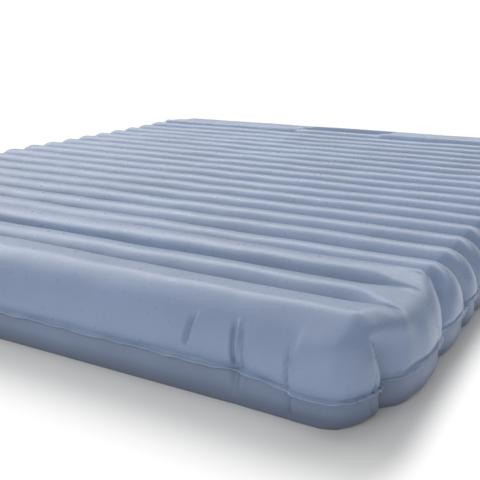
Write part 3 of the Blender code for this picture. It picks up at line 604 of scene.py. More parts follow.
# ---------------------------------------------------------------- materials
def coated_fabric(name, base, rough=0.30, foot=0.0):
    """Satin coated knit: faint mottling, painted shade darkening the grooves, painted highlight
    lightening the weld, fine weave relief.

    foot is how strongly painted shade darkens and greys the fabric where it turns under onto the
    floor.
    """
    mat, tree, bsdf = new_mat(name)
    links = tree.links
    cloth = add_node(tree, "ShaderNodeUVMap", uv_map="cloth")
    coords = add_node(tree, "ShaderNodeTexCoord").outputs["Object"]
    groove = add_node(tree, "ShaderNodeAttribute", attribute_name="groove").outputs["Fac"]
    weld = add_node(tree, "ShaderNodeAttribute", attribute_name="weld").outputs["Fac"]
    mottle = noise(tree, coords, scale=5.0, detail=3.0, roughness=0.55)
    tint = ramp(tree, mottle, (0.30, scaled(base, 0.90)), (0.70, scaled(base, 1.10)))
    # painted shade: the colour darkens towards the groove bottoms, standing in for the shadow in
    # the creases
    groove_painted_shade = math_node(tree, 'MULTIPLY', math_node(tree, 'POWER', groove, 3.0), 0.45, True)
    tint = mix_colour(tree, groove_painted_shade, tint, scaled(base, 0.62, 0.62, 0.66))
    # painted highlight: the weld's colour is lightened, standing in for the light caught by the
    # upward-facing flange
    weld_painted_highlight = math_node(tree, 'MULTIPLY', weld, 0.30, True)
    tint = mix_colour(tree, weld_painted_highlight, tint, scaled(base, 1.25, 1.22, 1.15))
    # painted shade: towards the floor the colour darkens and greys, standing in for the occlusion
    # shadow at the floor
    if foot > 0.0:
        split = add_node(tree, "ShaderNodeSeparateXYZ")
        links.new(coords, split.inputs[0])
        low = map_range(tree, split.outputs[2], source=(0.0, 0.026), target=(foot, 0.0))
        tint = mix_colour(tree, low, tint, scaled(base, 0.60, 0.55, 0.48))
    links.new(tint, bsdf.inputs["Base Color"])
    gloss = map_range(tree, noise(tree, coords, scale=60.0, detail=4.0, roughness=0.6),
                      source=(0.3, 0.7), target=(rough - 0.04, rough + 0.05))
    links.new(gloss, bsdf.inputs["Roughness"])
    set_inputs(bsdf, {"Specular IOR Level": 0.5, "Sheen Weight": 0.10, "Sheen Roughness": 0.4,
                      "Sheen Tint": (0.75, 0.82, 1.0, 1)})
    # the weave reads only from close by
    weave = bump(tree, crossed_waves(tree, cloth.outputs["UV"], pitch=0.0011),
                 strength=0.30, distance=0.00012)
    distance = add_node(tree, "ShaderNodeCameraData").outputs["View Distance"]
    links.new(map_range(tree, distance, source=(0.35, 0.80), target=(0.30, 0.0)),
              weave.inputs["Strength"])
    soft = bump(tree, noise(tree, coords, scale=22.0, detail=1.0, roughness=0.4),
                strength=0.25, distance=0.0004, normal=weave.outputs["Normal"])
    links.new(soft.outputs["Normal"], bsdf.inputs["Normal"])
    return mat


def plastic(name, base, rough=0.4, grain=0.0002, metallic=0.0, scale=900.0, coat=0.0,
            transmission=0.0):
    """Moulded plastic or metal: fine grain, slight tone and gloss variation, lighter edges.

    grain is the relief's depth in metres and scale its noise scale.
    """
    mat, tree, bsdf = new_mat(name)
    links = tree.links
    coords = add_node(tree, "ShaderNodeTexCoord").outputs["Object"]
    broad = noise(tree, coords, scale=45.0, detail=4.0, roughness=0.6)
    fine = noise(tree, coords, scale=scale, detail=2.0)
    geometry = add_node(tree, "ShaderNodeNewGeometry")
    edge = ramp(tree, geometry.outputs["Pointiness"], (0.52, (0, 0, 0)), (0.60, (1, 1, 1)))
    tone = ramp(tree, broad, (0.3, scaled(base, 0.92)), (0.7, scaled(base, 1.07)))
    rubbed = tuple(min(1.0, c * 1.35 + 0.03) for c in base)
    tone = mix_colour(tree, math_node(tree, 'MULTIPLY', edge, 0.25), tone, rubbed)
    links.new(tone, bsdf.inputs["Base Color"])
    links.new(map_range(tree, broad, target=(rough - 0.06, rough + 0.08)),
              bsdf.inputs["Roughness"])
    set_inputs(bsdf, {"Metallic": metallic, "Specular IOR Level": 0.5, "Coat Weight": coat,
                      "Transmission Weight": transmission})
    relief = bump(tree, fine, strength=0.4, distance=grain)
    links.new(relief.outputs["Normal"], bsdf.inputs["Normal"])
    return mat


def woven(name, base, pitch=0.0016, depth=0.0004, rough=0.85):
    mat, tree, bsdf = new_mat(name)
    coords = add_node(tree, "ShaderNodeTexCoord").outputs["Object"]
    weave = crossed_waves(tree, coords, pitch)
    value = math_node(tree, 'ADD', math_node(tree, 'MULTIPLY', weave, 0.18),
                      noise(tree, coords, scale=30.0, detail=4.0))
    tone = ramp(tree, value, (0.25, scaled(base, 0.75)), (0.8, scaled(base, 1.2)))
    tree.links.new(tone, bsdf.inputs["Base Color"])
    set_inputs(bsdf, {"Roughness": rough, "Sheen Weight": 0.2})
    relief = bump(tree, weave, strength=0.6, distance=depth)
    tree.links.new(relief.outputs["Normal"], bsdf.inputs["Normal"])
    return mat


UPPER_FABRIC = coated_fabric("coated_fabric_upper", (0.215, 0.280, 0.420))
# painted shade: the lower skin is the upper fabric's colour darkened to 0.77, plus painted shade
# towards the floor
LOWER_FABRIC_SHADED = coated_fabric("coated_fabric_lower_shaded", (0.165, 0.215, 0.322), rough=0.38, foot=0.75)
TOOL = plastic("plain", (0.5, 0.5, 0.5))    # carried by round cutting bodies only
FILM = plastic("cell_film_satin", (0.60, 0.67, 0.75), rough=0.32, grain=0.00025, scale=260.0)
BASE_CLOTH = woven("base_fabric_weave", (0.42, 0.46, 0.52))
WEBBING = woven("webbing_weave", (0.09, 0.10, 0.12), pitch=0.0021, depth=0.0005, rough=0.9)
HOSE = plastic("hose_clear_pvc", (0.55, 0.61, 0.66), rough=0.22, grain=0.0001, scale=400.0,
               coat=0.3, transmission=0.25)
POCKET = plastic("pocket_moulding_blue", (0.150, 0.195, 0.280), rough=0.46)
PANEL = plastic("panel_grey", (0.30, 0.32, 0.35), rough=0.48)
WHITE = plastic("valve_white", (0.72, 0.74, 0.75), rough=0.36)
BLACK = plastic("socket_black", (0.055, 0.060, 0.066), rough=0.42)
RED = plastic("knob_red", (0.58, 0.045, 0.035), rough=0.36)
BLUE = plastic("cap_blue", (0.09, 0.20, 0.40), rough=0.38)
RUBBER = plastic("seal_rubber_black", (0.028, 0.028, 0.030), rough=0.72, grain=0.0003)
STEEL = plastic("spring_steel_bright", (0.60, 0.60, 0.62), rough=0.26, grain=0.00003,
                metallic=1.0)
BRASS = plastic("sleeve_brass_turned", (0.74, 0.58, 0.30), rough=0.24, grain=0.00003,
                metallic=1.0)


# ---------------------------------------------------------------- mesh helpers
def add_object(name, data, mats=()):
    ob = bpy.data.objects.new(name, data)
    bpy.context.scene.collection.objects.link(ob)
    for mat in mats:
        data.materials.append(mat)
    return ob


def piece(ob, node, body="mattress"):
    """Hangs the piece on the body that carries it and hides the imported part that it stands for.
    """
    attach(ob, body)
    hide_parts(node)
    return ob


def sheet_object(name, points, mat, opening=None, attributes={}, flip=False):
    """Cloth sheet from a grid of points, thickened below, with a UV map in metres."""
    rows, columns = points.shape[:2]
    index = np.arange(rows * columns).reshape(rows, columns)
    quads = np.stack([index[:-1, :-1], index[:-1, 1:], index[1:, 1:], index[1:, :-1]],
                     axis=2).reshape(-1, 4)
    if opening is not None:
        quads = quads[~opening.reshape(-1)[quads].any(axis=1)]
    if flip:
        quads = quads[:, ::-1]
    me = bpy.data.meshes.new(name)
    me.from_pydata(points.reshape(-1, 3).tolist(), [], quads.tolist())
    # lengths along the middle row and the middle column
    uv_map = me.uv_layers.new(name="cloth")
    lengths = [np.concatenate([[0], np.cumsum(np.linalg.norm(np.diff(line, axis=0), axis=1))])
               for line in (points[rows // 2], points[:, columns // 2])]
    uv = np.stack(np.meshgrid(*lengths), axis=2).reshape(-1, 2)
    corners = np.empty(len(me.loops), dtype=np.int32)
    me.loops.foreach_get("vertex_index", corners)
    uv_map.data.foreach_set("uv", uv[corners].astype(np.float32).reshape(-1))
    for key, values in attributes.items():
        attribute = me.attributes.new(key, 'FLOAT', 'POINT')
        attribute.data.foreach_set("value", values.reshape(-1).astype(np.float32))
    bm = bmesh.new()
    bm.from_mesh(me)
    bmesh.ops.delete(bm, geom=[v for v in bm.verts if not v.link_faces], context='VERTS')
    bm.to_mesh(me)
    bm.free()
    me.shade_smooth()
    ob = add_object(name, me, [mat])
    solidify = ob.modifiers.new("sheet", 'SOLIDIFY')
    solidify.thickness = SHEET
    solidify.offset = -1.0
    return ob


def mesh_object(name, verts, faces, mat, sharp):
    """Smooth shaded mesh; edges steeper than sharp degrees stay crisp."""
    me = bpy.data.meshes.new(name)
    me.from_pydata([tuple(map(float, v)) for v in verts], [], faces)
    bm = bmesh.new()
    bm.from_mesh(me)
    bmesh.ops.remove_doubles(bm, verts=bm.verts, dist=1e-7)
    bmesh.ops.recalc_face_normals(bm, faces=bm.faces)
    bm.to_mesh(me)
    bm.free()
    me.shade_smooth()
    me.set_sharp_from_angle(angle=math.radians(sharp))
    return add_object(name, me, [mat])


def tube_faces(count, around):
    """Faces of a closed-ended tube of rings."""
    faces = []
    for i in range(count - 1):
        for k in range(around):
            a, b = i * around + k, i * around + (k + 1) % around
            faces.append((a, b, b + around, a + around))
    return faces + [tuple(range(around)), tuple(range((count - 1) * around, count * around))]


def filleted(profile, radius, closed, steps=3):
    """Corners of a profile rounded by up to radius; points on the axis stay."""
    out = []
    count = len(profile)
    for i, point in enumerate(profile):
        if not closed and i in (0, count - 1):
            out.append(point)
            continue
        corner = np.array(point)
        before = np.array(profile[(i - 1) % count]) - corner
        after = np.array(profile[(i + 1) % count]) - corner
        before_length, after_length = np.linalg.norm(before), np.linalg.norm(after)
        if point[0] < 1e-6 or before_length < 1e-7 or after_length < 1e-7:
            out.append(point)
            continue
        cut = min(radius, 0.35 * before_length, 0.35 * after_length)
        start = corner + before / before_length * cut
        end = corner + after / after_length * cut
        for k in range(steps + 1):
            t = k / steps
            q = (1 - t) ** 2 * start + 2 * t * (1 - t) * corner + t * t * end
            out.append((max(0.0, float(q[0])), float(q[1])))
    return out


def lathe(name, profile, centre, mat, segments=72, fillet=0.0004, closed=True):
    """Turned piece about a vertical axis from a profile of (radius, z)."""
    verts, rings = [], []
    for radius, z in filleted(profile, fillet, closed):
        if radius < 1e-6:
            rings.append([len(verts)])
            verts.append((centre[0], centre[1], z))
        else:
            rings.append(list(range(len(verts), len(verts) + segments)))
            for k in range(segments):
                angle = 2 * math.pi * k / segments
                verts.append((centre[0] + radius * math.cos(angle),
                              centre[1] + radius * math.sin(angle), z))
    faces = []
    pairs = list(zip(rings[:-1], rings[1:])) + ([(rings[-1], rings[0])] if closed else [])
    for one, two in pairs:
        for k in range(segments):
            face = []
            for vert in (one[k % len(one)], one[(k + 1) % len(one)],
                         two[(k + 1) % len(two)], two[k % len(two)]):
                if vert not in face:
                    face.append(vert)
            if len(face) > 2:
                faces.append(face)
    return mesh_object(name, verts, faces, mat, sharp=42)


def rounded_box(name, size, centre, mat, corner=0.0, edge=0.0, segments=4):
    """Box with its upright edges rounded by corner and its other edges by edge."""
    def upright(e):
        return abs(e.verts[0].co.z - e.verts[1].co.z) > 1e-6

    bm = bmesh.new()
    bmesh.ops.create_cube(bm, size=1.0, matrix=Matrix.Diagonal((*size, 1.0)))
    if corner:
        bmesh.ops.bevel(bm, geom=[e for e in bm.edges if upright(e)], offset=corner,
                        segments=8, affect='EDGES', profile=0.5)
    if edge:
        top = 0.5 * size[2] - 1e-6
        edges = [e for e in bm.edges
                 if all(v.co.z > top for v in e.verts) or all(v.co.z < -top for v in e.verts)
                 or (not corner and upright(e))]
        bmesh.ops.bevel(bm, geom=edges, offset=edge, segments=segments, affect='EDGES',
                        profile=0.5, clamp_overlap=True)
    bmesh.ops.recalc_face_normals(bm, faces=bm.faces)
    for v in bm.verts:
        v.co += Vector(centre)
    me = bpy.data.meshes.new(name)
    bm.to_mesh(me)
    bm.free()
    me.shade_smooth()
    me.set_sharp_from_angle(angle=math.radians(38))
    return add_object(name, me, [mat] if mat else [])


def cylinder(name, radius, length, centre, axis, mat, segments=64, fillet=0.0):
    half = 0.5 * length
    profile = [(0.0, half), (radius, half), (radius, -half), (0.0, -half)]
    ob = lathe(name, profile, (0, 0), mat, segments, fillet, closed=False)
    turned = {'Z': Matrix.Identity(4), 'X': Matrix.Rotation(math.pi / 2, 4, 'Y'),
              'Y': Matrix.Rotation(math.pi / 2, 4, 'X')}[axis]
    ob.data.transform(Matrix.Translation(Vector(centre)) @ turned)
    return ob


def box_cutter(size, centre, corner=0.0, edge=0.0, segments=4):
    return rounded_box("tool", size, centre, None, corner, edge, segments)


def rod_cutter(radius, length, centre, axis='Z', segments=32):
    return cylinder("tool", radius, length, centre, axis, TOOL, segments)


def combine(ob, tools, operation):
    """Booleans, applied at once, with the tool bodies removed."""
    for tool in tools:
        boolean = ob.modifiers.new("b", 'BOOLEAN')
        boolean.operation = operation
        boolean.object = tool
        boolean.solver = 'EXACT'
    bpy.context.view_layer.update()
    depsgraph = bpy.context.evaluated_depsgraph_get()
    me = bpy.data.meshes.new_from_object(ob.evaluated_get(depsgraph))
    ob.modifiers.clear()
    old = ob.data
    ob.data = me
    me.name = ob.name
    bpy.data.meshes.remove(old)
    for tool in tools:
        tool_mesh = tool.data
        bpy.data.objects.remove(tool, do_unlink=True)
        bpy.data.meshes.remove(tool_mesh)
    me.shade_smooth()
    me.set_sharp_from_angle(angle=math.radians(38))
    return ob


def sweep(name, path, radius, mat, around=16):
    """Round bar along a path of points."""
    path = [np.array(p, float) for p in path]
    verts = []
    up = None
    for i, p in enumerate(path):
        tangent = path[min(i + 1, len(path) - 1)] - path[max(i - 1, 0)]
        tangent = tangent / np.linalg.norm(tangent)
        if up is None:
            up = np.array([0, 0, 1.0]) if abs(tangent[2]) < 0.9 else np.array([1.0, 0, 0])
        side = np.cross(tangent, up)
        side /= np.linalg.norm(side)
        up = np.cross(side, tangent)
        for k in range(around):
            angle = 2 * math.pi * k / around
            verts.append(p + radius * (math.cos(angle) * side + math.sin(angle) * up))
    return mesh_object(name, verts, tube_faces(len(path), around), mat, sharp=60)


def rounded_path(points, radius, steps):
    out = [Vector(points[0])]
    for triple in zip(points[:-2], points[1:-1], points[2:]):
        before, corner, after = map(Vector, triple)
        start = corner + (before - corner).normalized() * radius
        end = corner + (after - corner).normalized() * radius
        for i in range(steps + 1):
            t = i / steps
            out.append((1 - t) ** 2 * start + 2 * t * (1 - t) * corner + t * t * end)
    out.append(Vector(points[-1]))
    return [tuple(v) for v in out]


def spring(node, centre, radius, wire, bottom, top, turns):
    """Coil with closer turns at both ends."""
    per_turn = 36
    count = int(turns * per_turn)
    path = []
    for i in range(count + 1):
        share = i / count
        height = share - 0.055 * math.sin(2 * math.pi * share)
        angle = 2 * math.pi * i / per_turn
        path.append((centre[0] + radius * math.cos(angle), centre[1] + radius * math.sin(angle),
                     bottom + (top - bottom) * height))
    ob = piece(sweep(node + "_coil", path, wire, STEEL, 12), node)
    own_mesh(ob)


# ---------------------------------------------------------------- cover
def build_cover():
    points, opening, attributes = upper_skin()
    ob = sheet_object("cover_upper_skin", points, UPPER_FABRIC, opening, attributes)
    piece(ob, "upper_cover")
    points, attributes = lower_skin()
    ob = sheet_object("cover_lower_skin", points, LOWER_FABRIC_SHADED, None, attributes, flip=True)
    piece(ob, "lower_cover")


# ---------------------------------------------------------------- air cells
CELL_FLOOR, CELL_CLEARANCE = 0.0085, 0.0052
CELL_END = 0.052                # length over which a cell narrows to its end
CELL_END_RINGS = [0.0, 0.0015, 0.004, 0.008, 0.013, 0.020, 0.028, 0.037, 0.045, CELL_END]
# foot bolster outline: (row, height), both in pitches
BOLSTER = [(0.28, 0.11), (0.18, 0.30), (0.17, 0.58), (0.17, 0.84), (0.28, 1.07), (0.45, 1.22),
           (0.69, 1.37), (1.02, 1.41), (1.27, 1.29), (1.43, 1.04), (1.44, 0.60), (1.43, 0.25),
           (1.32, 0.11), (0.75, 0.11)]


def smooth_outline(outline, count):
    """Closed Catmull-Rom curve through the points, sampled evenly."""
    p = np.array(outline, float)
    dense = []
    for i in range(len(p)):
        a, b, c, d = [p[(i + k) % len(p)] for k in (-1, 0, 1, 2)]
        for t in np.linspace(0, 1, 16, endpoint=False):
            dense.append(0.5 * (2 * b + (c - a) * t + (2 * a - 5 * b + 4 * c - d) * t * t
                                + (3 * b - a - 3 * c + d) * t ** 3))
    dense = np.array(dense + [dense[0]])
    length = np.concatenate([[0], np.cumsum(np.linalg.norm(np.diff(dense, axis=0), axis=1))])
    samples = np.linspace(0, length[-1], count, endpoint=False)
    return np.stack([np.interp(samples, length, dense[:, i]) for i in (0, 1)], axis=1)


def air_cell(node, outline, x_start, x_end, closed=(True, True), phase=0):
    """Inflated cell along x, drawn down at each end; a closed end narrows to a flat weld."""
    outline = smooth_outline(outline, 64)
    centre_y, centre_z = [0.5 * (outline[:, i].min() + outline[:, i].max()) for i in (0, 1)]
    from_y, from_z = outline[:, 0] - centre_y, outline[:, 1] - centre_z
    angle = np.arctan2(from_z, from_y)
    xs = ([x_start + e for e in CELL_END_RINGS]
          + list(np.linspace(x_start + CELL_END, x_end - CELL_END, 22))[1:-1]
          + [x_end - e for e in reversed(CELL_END_RINGS)])
    verts = []
    for x in xs:
        scale_y = scale_z = 1.0
        pucker = 0.0
        for distance, is_closed in zip((x - x_start, x_end - x), closed):
            if distance < CELL_END:
                t = 1 - distance / CELL_END
                fullness = math.sqrt(max(0.0, 1 - t * t))
                least = 0.02 if is_closed else 0.30
                scale_z *= least + (1 - least) * fullness
                scale_y *= 1.0 - 0.20 * t ** 3
                pucker = max(pucker, math.sin(math.pi * min(1.0, fullness))
                             * (1.0 if is_closed else 0.4))
        ripple = 1 + 0.012 * pucker * np.sin(angle * 13 + phase) - 0.008 * pucker
        y = centre_y + from_y * scale_y * ripple
        z = centre_z + from_z * scale_z * ripple
        verts += [(x, y[k], z[k]) for k in range(len(outline))]
    faces = tube_faces(len(xs), len(outline))
    piece(mesh_object(node + "_film", verts, faces, FILM, sharp=70), node)


def cell_outline(start, end, floor):
    """(y, z) outline of the cell between two grooves, just inside the cover."""
    y_start, y_end = y_at(start) + 0.0024, y_at(end) - 0.0024
    middle = 0.5 * (start + end)
    points = [(y_start + 0.012, floor), (0.5 * (y_start + y_end), floor),
              (y_end - 0.012, floor), (y_end - 0.001, floor + 0.010), (y_end, floor + 0.035)]
    for t in (0.92, 0.78, 0.55, 0.28, 0.0, -0.28, -0.55, -0.78, -0.92):
        height = float(crest_height(np.array(middle), 0.0)) - GROOVE_TOP * float(arc_depth(t))
        points.append((y_at(middle) + t * (0.5 * (y_end - y_start)),
                       height * PITCH - CELL_CLEARANCE))
    return points + [(y_start, floor + 0.035), (y_start + 0.001, floor + 0.010)]


def build_cells():
    foot = [(y_at(row), z * PITCH) for row, z in BOLSTER]
    air_cell("foot_bolster_cell", foot, -0.70, 0.70)
    # the head bolster is the foot's mirror image with its top sloping down to the end
    head = [(y_at(MIRROR - row), (z - (0.14 * (1.5 - row) if z > 1.0 else 0.0)) * PITCH)
            for row, z in BOLSTER]
    air_cell("head_bolster_cell", head, -0.70, 0.70, phase=2)
    spans = list(zip(GROOVES[:-1], GROOVES[1:]))
    for i, (start, end) in enumerate(spans[:-1]):
        half = 0.725 - (0.012 if 1 < i < len(spans) - 2 else 0.022)
        air_cell("air_cell_%02d" % (i + 1), cell_outline(start, end, CELL_FLOOR), -half, half,
                 phase=i * 1.7)
    # the last cell is in two parts, either side of the port bay
    outline = cell_outline(*spans[-1], 0.036)
    air_cell("air_cell_20_left", outline, -0.700, -0.166, (True, False), phase=3)
    air_cell("air_cell_20_right", outline, 0.166, 0.700, (False, True), phase=3)


# ---------------------------------------------------------------- base sheet, straps and hoses
def build_base():
    width, length, height = 1.36, 1.90, 0.0040
    x, y = np.meshgrid(np.linspace(-0.5 * width, 0.5 * width, 90),
                       np.linspace(-0.5 * length, 0.5 * length, 120))
    z = height + 0.0002 * wavy(x * 14, y * 14, 11) + 0.5 * SHEET
    ob = sheet_object("cell_base_sheet_cloth", np.stack([x, y, z], axis=2), BASE_CLOTH)
    piece(ob, "cell_base_sheet")
    for side, tag in SIDES:
        ob = rounded_box("cell_strap_%s_web" % tag, (0.030, 1.84, 0.0014),
                         (side * 0.43, 0, 0.0060), WEBBING, edge=0.0004, segments=2)
        piece(ob, "cell_strap_" + tag)


def build_hoses():
    """Along each side, in under the port bay, then up to the socket."""
    side_x, turn_in_x, run_z, under_z = 0.738, 0.715, 0.030, 0.0185
    for side, tag in PORTS:
        path = [(side * side_x, y_at(1.6), run_z), (side * side_x, y_at(20.45), run_z),
                (side * turn_in_x, BAY_Y, under_z), (side * PORT_X, BAY_Y, under_z),
                (side * PORT_X, BAY_Y, 0.0395)]
        ob = sweep("air_hose_%s_tube" % tag, rounded_path(path, 0.012, 12), 0.0048, HOSE, 28)
        piece(ob, "air_hose_" + tag)


# ---------------------------------------------------------------- port bay
BAY_HALF_X, BAY_HALF_Y = 0.156, 0.0385
TRAY_FLOOR = 0.0015
PLATE = 0.0030                              # panel thickness
PLATE_Z = BAY_FLOOR + GAP                   # underside of the panel
PLATE_TOP = PLATE_Z + PLATE
FILL = (-0.088, BAY_Y)                      # valve axes
CPR = (0.090, BAY_Y)
SCREWS = [(-0.141, -0.030), (0.141, -0.030), (-0.141, 0.030), (0.141, 0.030)]  # x, y from BAY_Y
GASKET_Z = PLATE_TOP + GAP
GASKET_TOP = GASKET_Z + 0.0010
FLANGE_Z = GASKET_TOP + GAP                 # valve body flange
FLANGE_TOP = FLANGE_Z + 0.0028
CAP_Z = FLANGE_TOP + GAP                    # underside of the cap and the knob
PIN, PIN_HOLE, BARREL = 0.0012, 0.00125, 0.0024   # hinge radii


def build_tray_and_panel():
    ob = rounded_box("port_bay_pocket_tray",
                     (2 * (BAY_HALF_X + 0.0025), 2 * (BAY_HALF_Y + 0.0015), 0.0290),
                     (0, BAY_Y, BAY_FLOOR - TRAY_FLOOR + 0.0145), POCKET, 0.004, 0.0005, 2)
    combine(ob, [box_cutter((2 * (BAY_HALF_X + 0.0010), 2 * BAY_HALF_Y, 0.04),
                            (0, BAY_Y, BAY_FLOOR + 0.02), 0.003),
                 box_cutter((0.256, 0.060, 0.02), (0, BAY_Y, BAY_FLOOR), 0.004)], 'DIFFERENCE')
    piece(ob, "port_bay_pocket")

    ob = rounded_box("port_panel_plate", (2 * 0.1535, 2 * 0.0365, PLATE),
                     (0, BAY_Y, 0.5 * (PLATE_Z + PLATE_TOP)), PANEL, 0.003, 0.0006, 3)
    holes = [rod_cutter(0.0174, 0.02, (*centre, PLATE_Z), segments=96)
             for centre in (FILL, CPR)]
    holes.append(box_cutter((0.0570, 0.0350, 0.02), (0, BAY_Y, PLATE_Z), 0.002))
    holes += [rod_cutter(0.0018, 0.03, (x, BAY_Y + y, BAY_FLOOR)) for x, y in SCREWS]
    combine(ob, holes, 'DIFFERENCE')
    piece(ob, "port_panel")

    frame_top = BAY_FLOOR - TRAY_FLOOR - GAP
    ob = rounded_box("port_backing_frame_ring", (0.306, 0.072, 0.0030),
                     (0, BAY_Y, frame_top - 0.0015), WHITE, 0.004, 0.0005, 2)
    combine(ob, [box_cutter((0.252, 0.056, 0.02), (0, BAY_Y, frame_top), 0.003)], 'DIFFERENCE')
    piece(ob, "port_backing_frame")


def build_screws():
    """Pan head screws with a crossed slot."""
    profile = [(0.0, 0.0022), (0.0018, 0.0020), (0.0028, 0.0012), (0.0032, 0.0003),
               (0.0032, 0.0), (0.0014, 0.0), (0.0014, -0.0080), (0.0, -0.0095)]
    slots = ((0.0030, 0.0006, 0.0016), (0.0006, 0.0030, 0.0016))
    for i, (x, y) in enumerate(SCREWS):
        node = "panel_screw_%d" % (i + 1)
        ob = lathe(node + "_pan", profile, (0, 0), STEEL, 48, 0.0002, closed=False)
        combine(ob, [box_cutter(size, (0, 0, 0.0019)) for size in slots], 'DIFFERENCE')
        ob.data.transform(Matrix.Translation(Vector((x, BAY_Y + y, PLATE_TOP + GAP))))
        piece(ob, node)


def build_gaskets():
    profile = [(0.0212, GASKET_TOP), (0.0212, GASKET_Z), (0.0178, GASKET_Z), (0.0178, GASKET_TOP)]
    for node, centre in (("fill_valve_gasket", FILL), ("cpr_valve_gasket", CPR)):
        piece(lathe(node + "_ring", profile, centre, RUBBER, 96), node)


def valve_body(name, centre, seat, seat_z, bottom, lip):
    """Flanged sleeve with an inner seat ring and an open bottom; seat and lip are radii."""
    bore, outer = 0.0130, 0.0168
    profile = [(0.0220, FLANGE_TOP), (0.0220, FLANGE_Z), (outer, FLANGE_Z), (outer, bottom),
               (lip, bottom), (lip, bottom + 0.0025), (bore, bottom + 0.0025), (bore, seat_z),
               (seat, seat_z), (seat, seat_z + 0.0025), (bore, seat_z + 0.0025),
               (bore, FLANGE_TOP)]
    return lathe(name, profile, centre, WHITE, 96, 0.0005)


def rim_notches(centre, ring, radius, degrees):
    return [rod_cutter(radius, 0.010, (centre[0] + ring * math.cos(math.radians(v)),
                                       BAY_Y + ring * math.sin(math.radians(v)),
                                       CAP_Z + 0.004), segments=16) for v in degrees]


def build_fill_valve():
    hinge_x, hinge_z = FILL[0] - 0.0262, FLANGE_TOP + 0.0032
    hinge = (hinge_x, BAY_Y, hinge_z)
    seat_z, bottom = 0.0585, 0.0400
    body = valve_body("fill_valve_body_shell", FILL, 0.0090, seat_z, bottom, 0.0065)
    lugs, holes = [], []
    for side in (-1, 1):
        y = BAY_Y + side * 0.0064
        lugs.append(rounded_box("tool", (0.0079, 0.0028, hinge_z - FLANGE_Z + 0.0003),
                                (hinge_x + 0.0023, y, 0.5 * (hinge_z + FLANGE_Z + 0.0011)),
                                WHITE, edge=0.0003, segments=2))
        lugs.append(cylinder("tool", BARREL, 0.0030, (hinge_x, y, hinge_z), 'Y', WHITE, 48,
                             0.0003))
        holes.append(rod_cutter(PIN_HOLE, 0.006, (hinge_x, y, hinge_z), 'Y'))
    combine(body, lugs, 'UNION')
    combine(body, holes, 'DIFFERENCE')
    piece(body, "fill_valve_body")

    profile = [(0.0, 0.0725), (0.0025, 0.0725), (0.0025, seat_z - GAP), (0.0112, seat_z - GAP),
               (0.0112, seat_z - 0.0025), (0.0030, seat_z - 0.0036),
               (0.0030, seat_z - 0.0080), (0.0, seat_z - 0.0080)]
    ob = lathe("fill_valve_poppet_stem", profile, FILL, WHITE, closed=False)
    piece(ob, "fill_valve_poppet", "fill_poppet_body")
    spring("fill_valve_spring", FILL, 0.0052, 0.0006, bottom + 0.0034, seat_z - 0.0046, 3.5)

    # hinged cap: shallow ring groove on top, grip notches on its +x rim
    profile = [(0.0, CAP_Z + 0.0046), (0.0105, CAP_Z + 0.0046), (0.0112, CAP_Z + 0.0040),
               (0.0122, CAP_Z + 0.0040), (0.0130, CAP_Z + 0.0046), (0.0150, CAP_Z + 0.0046),
               (0.0200, CAP_Z + 0.0030), (0.0200, CAP_Z), (0.0, CAP_Z)]
    cap = lathe("fill_valve_cap_lid", profile, FILL, BLUE, 96, 0.0006, closed=False)
    combine(cap, [rounded_box("tool", (0.0100, 0.0084, 0.0026),
                              (hinge_x + 0.0052, BAY_Y, hinge_z - 0.0005), BLUE,
                              edge=0.0004, segments=2),
                  cylinder("tool", BARREL, 0.0090, hinge, 'Y', BLUE, 48, 0.0003)], 'UNION')
    combine(cap, [rod_cutter(PIN_HOLE, 0.02, hinge, 'Y')]
            + rim_notches(FILL, 0.0203, 0.0008, range(-75, 76, 10)), 'DIFFERENCE')
    piece(cap, "fill_valve_cap", "fill_valve_cap_body")
    ob = cylinder("fill_valve_cap_pin_rod", PIN, 0.0164, hinge, 'Y', STEEL, 48, 0.0002)
    piece(ob, "fill_valve_cap_pin")


def build_cpr_valve():
    seat_z, bottom = 0.0620, 0.0420
    body = valve_body("cpr_valve_body_shell", CPR, 0.0095, seat_z, bottom, 0.0060)
    piece(body, "cpr_valve_body")

    # round knob with a raised grip bar and a notched rim
    profile = [(0.0, CAP_Z + 0.0050), (0.0150, CAP_Z + 0.0050), (0.0190, CAP_Z + 0.0036),
               (0.0190, CAP_Z), (0.0115, CAP_Z), (0.0115, 0.0705), (0.0040, 0.0705),
               (0.0040, 0.0672), (0.0, 0.0672)]
    knob = lathe("cpr_knob_grip", profile, CPR, RED, 96, 0.0006, closed=False)
    combine(knob, [rounded_box("tool", (0.0300, 0.0060, 0.0120), (*CPR, CAP_Z + 0.0062), RED,
                               0.0026, 0.0012, 3)], 'UNION')
    combine(knob, rim_notches(CPR, 0.0193, 0.0009, range(0, 360, 12)), 'DIFFERENCE')
    piece(knob, "cpr_knob", "cpr_knob_body")

    profile = [(0.0, 0.0668), (0.0045, 0.0668), (0.0045, seat_z - GAP), (0.0116, seat_z - GAP),
               (0.0116, seat_z - 0.0028), (0.0030, seat_z - 0.0040),
               (0.0030, seat_z - 0.0090), (0.0, seat_z - 0.0090)]
    ob = lathe("cpr_plunger_seal", profile, CPR, RUBBER, closed=False)
    piece(ob, "cpr_plunger", "cpr_plunger_body")
    spring("cpr_spring", CPR, 0.0052, 0.0006, bottom + 0.0034, seat_z - 0.0050, 4.0)


# ---------------------------------------------------------------- hose socket
SOCKET_TOP = 0.0905
SOCKET_FOOT = 0.0500
BUTTON_Z = 0.0835
LID_HINGE_Y, LID_HINGE_Z = BAY_Y + 0.0186, SOCKET_TOP + 0.0021
LUG_X = 0.0180


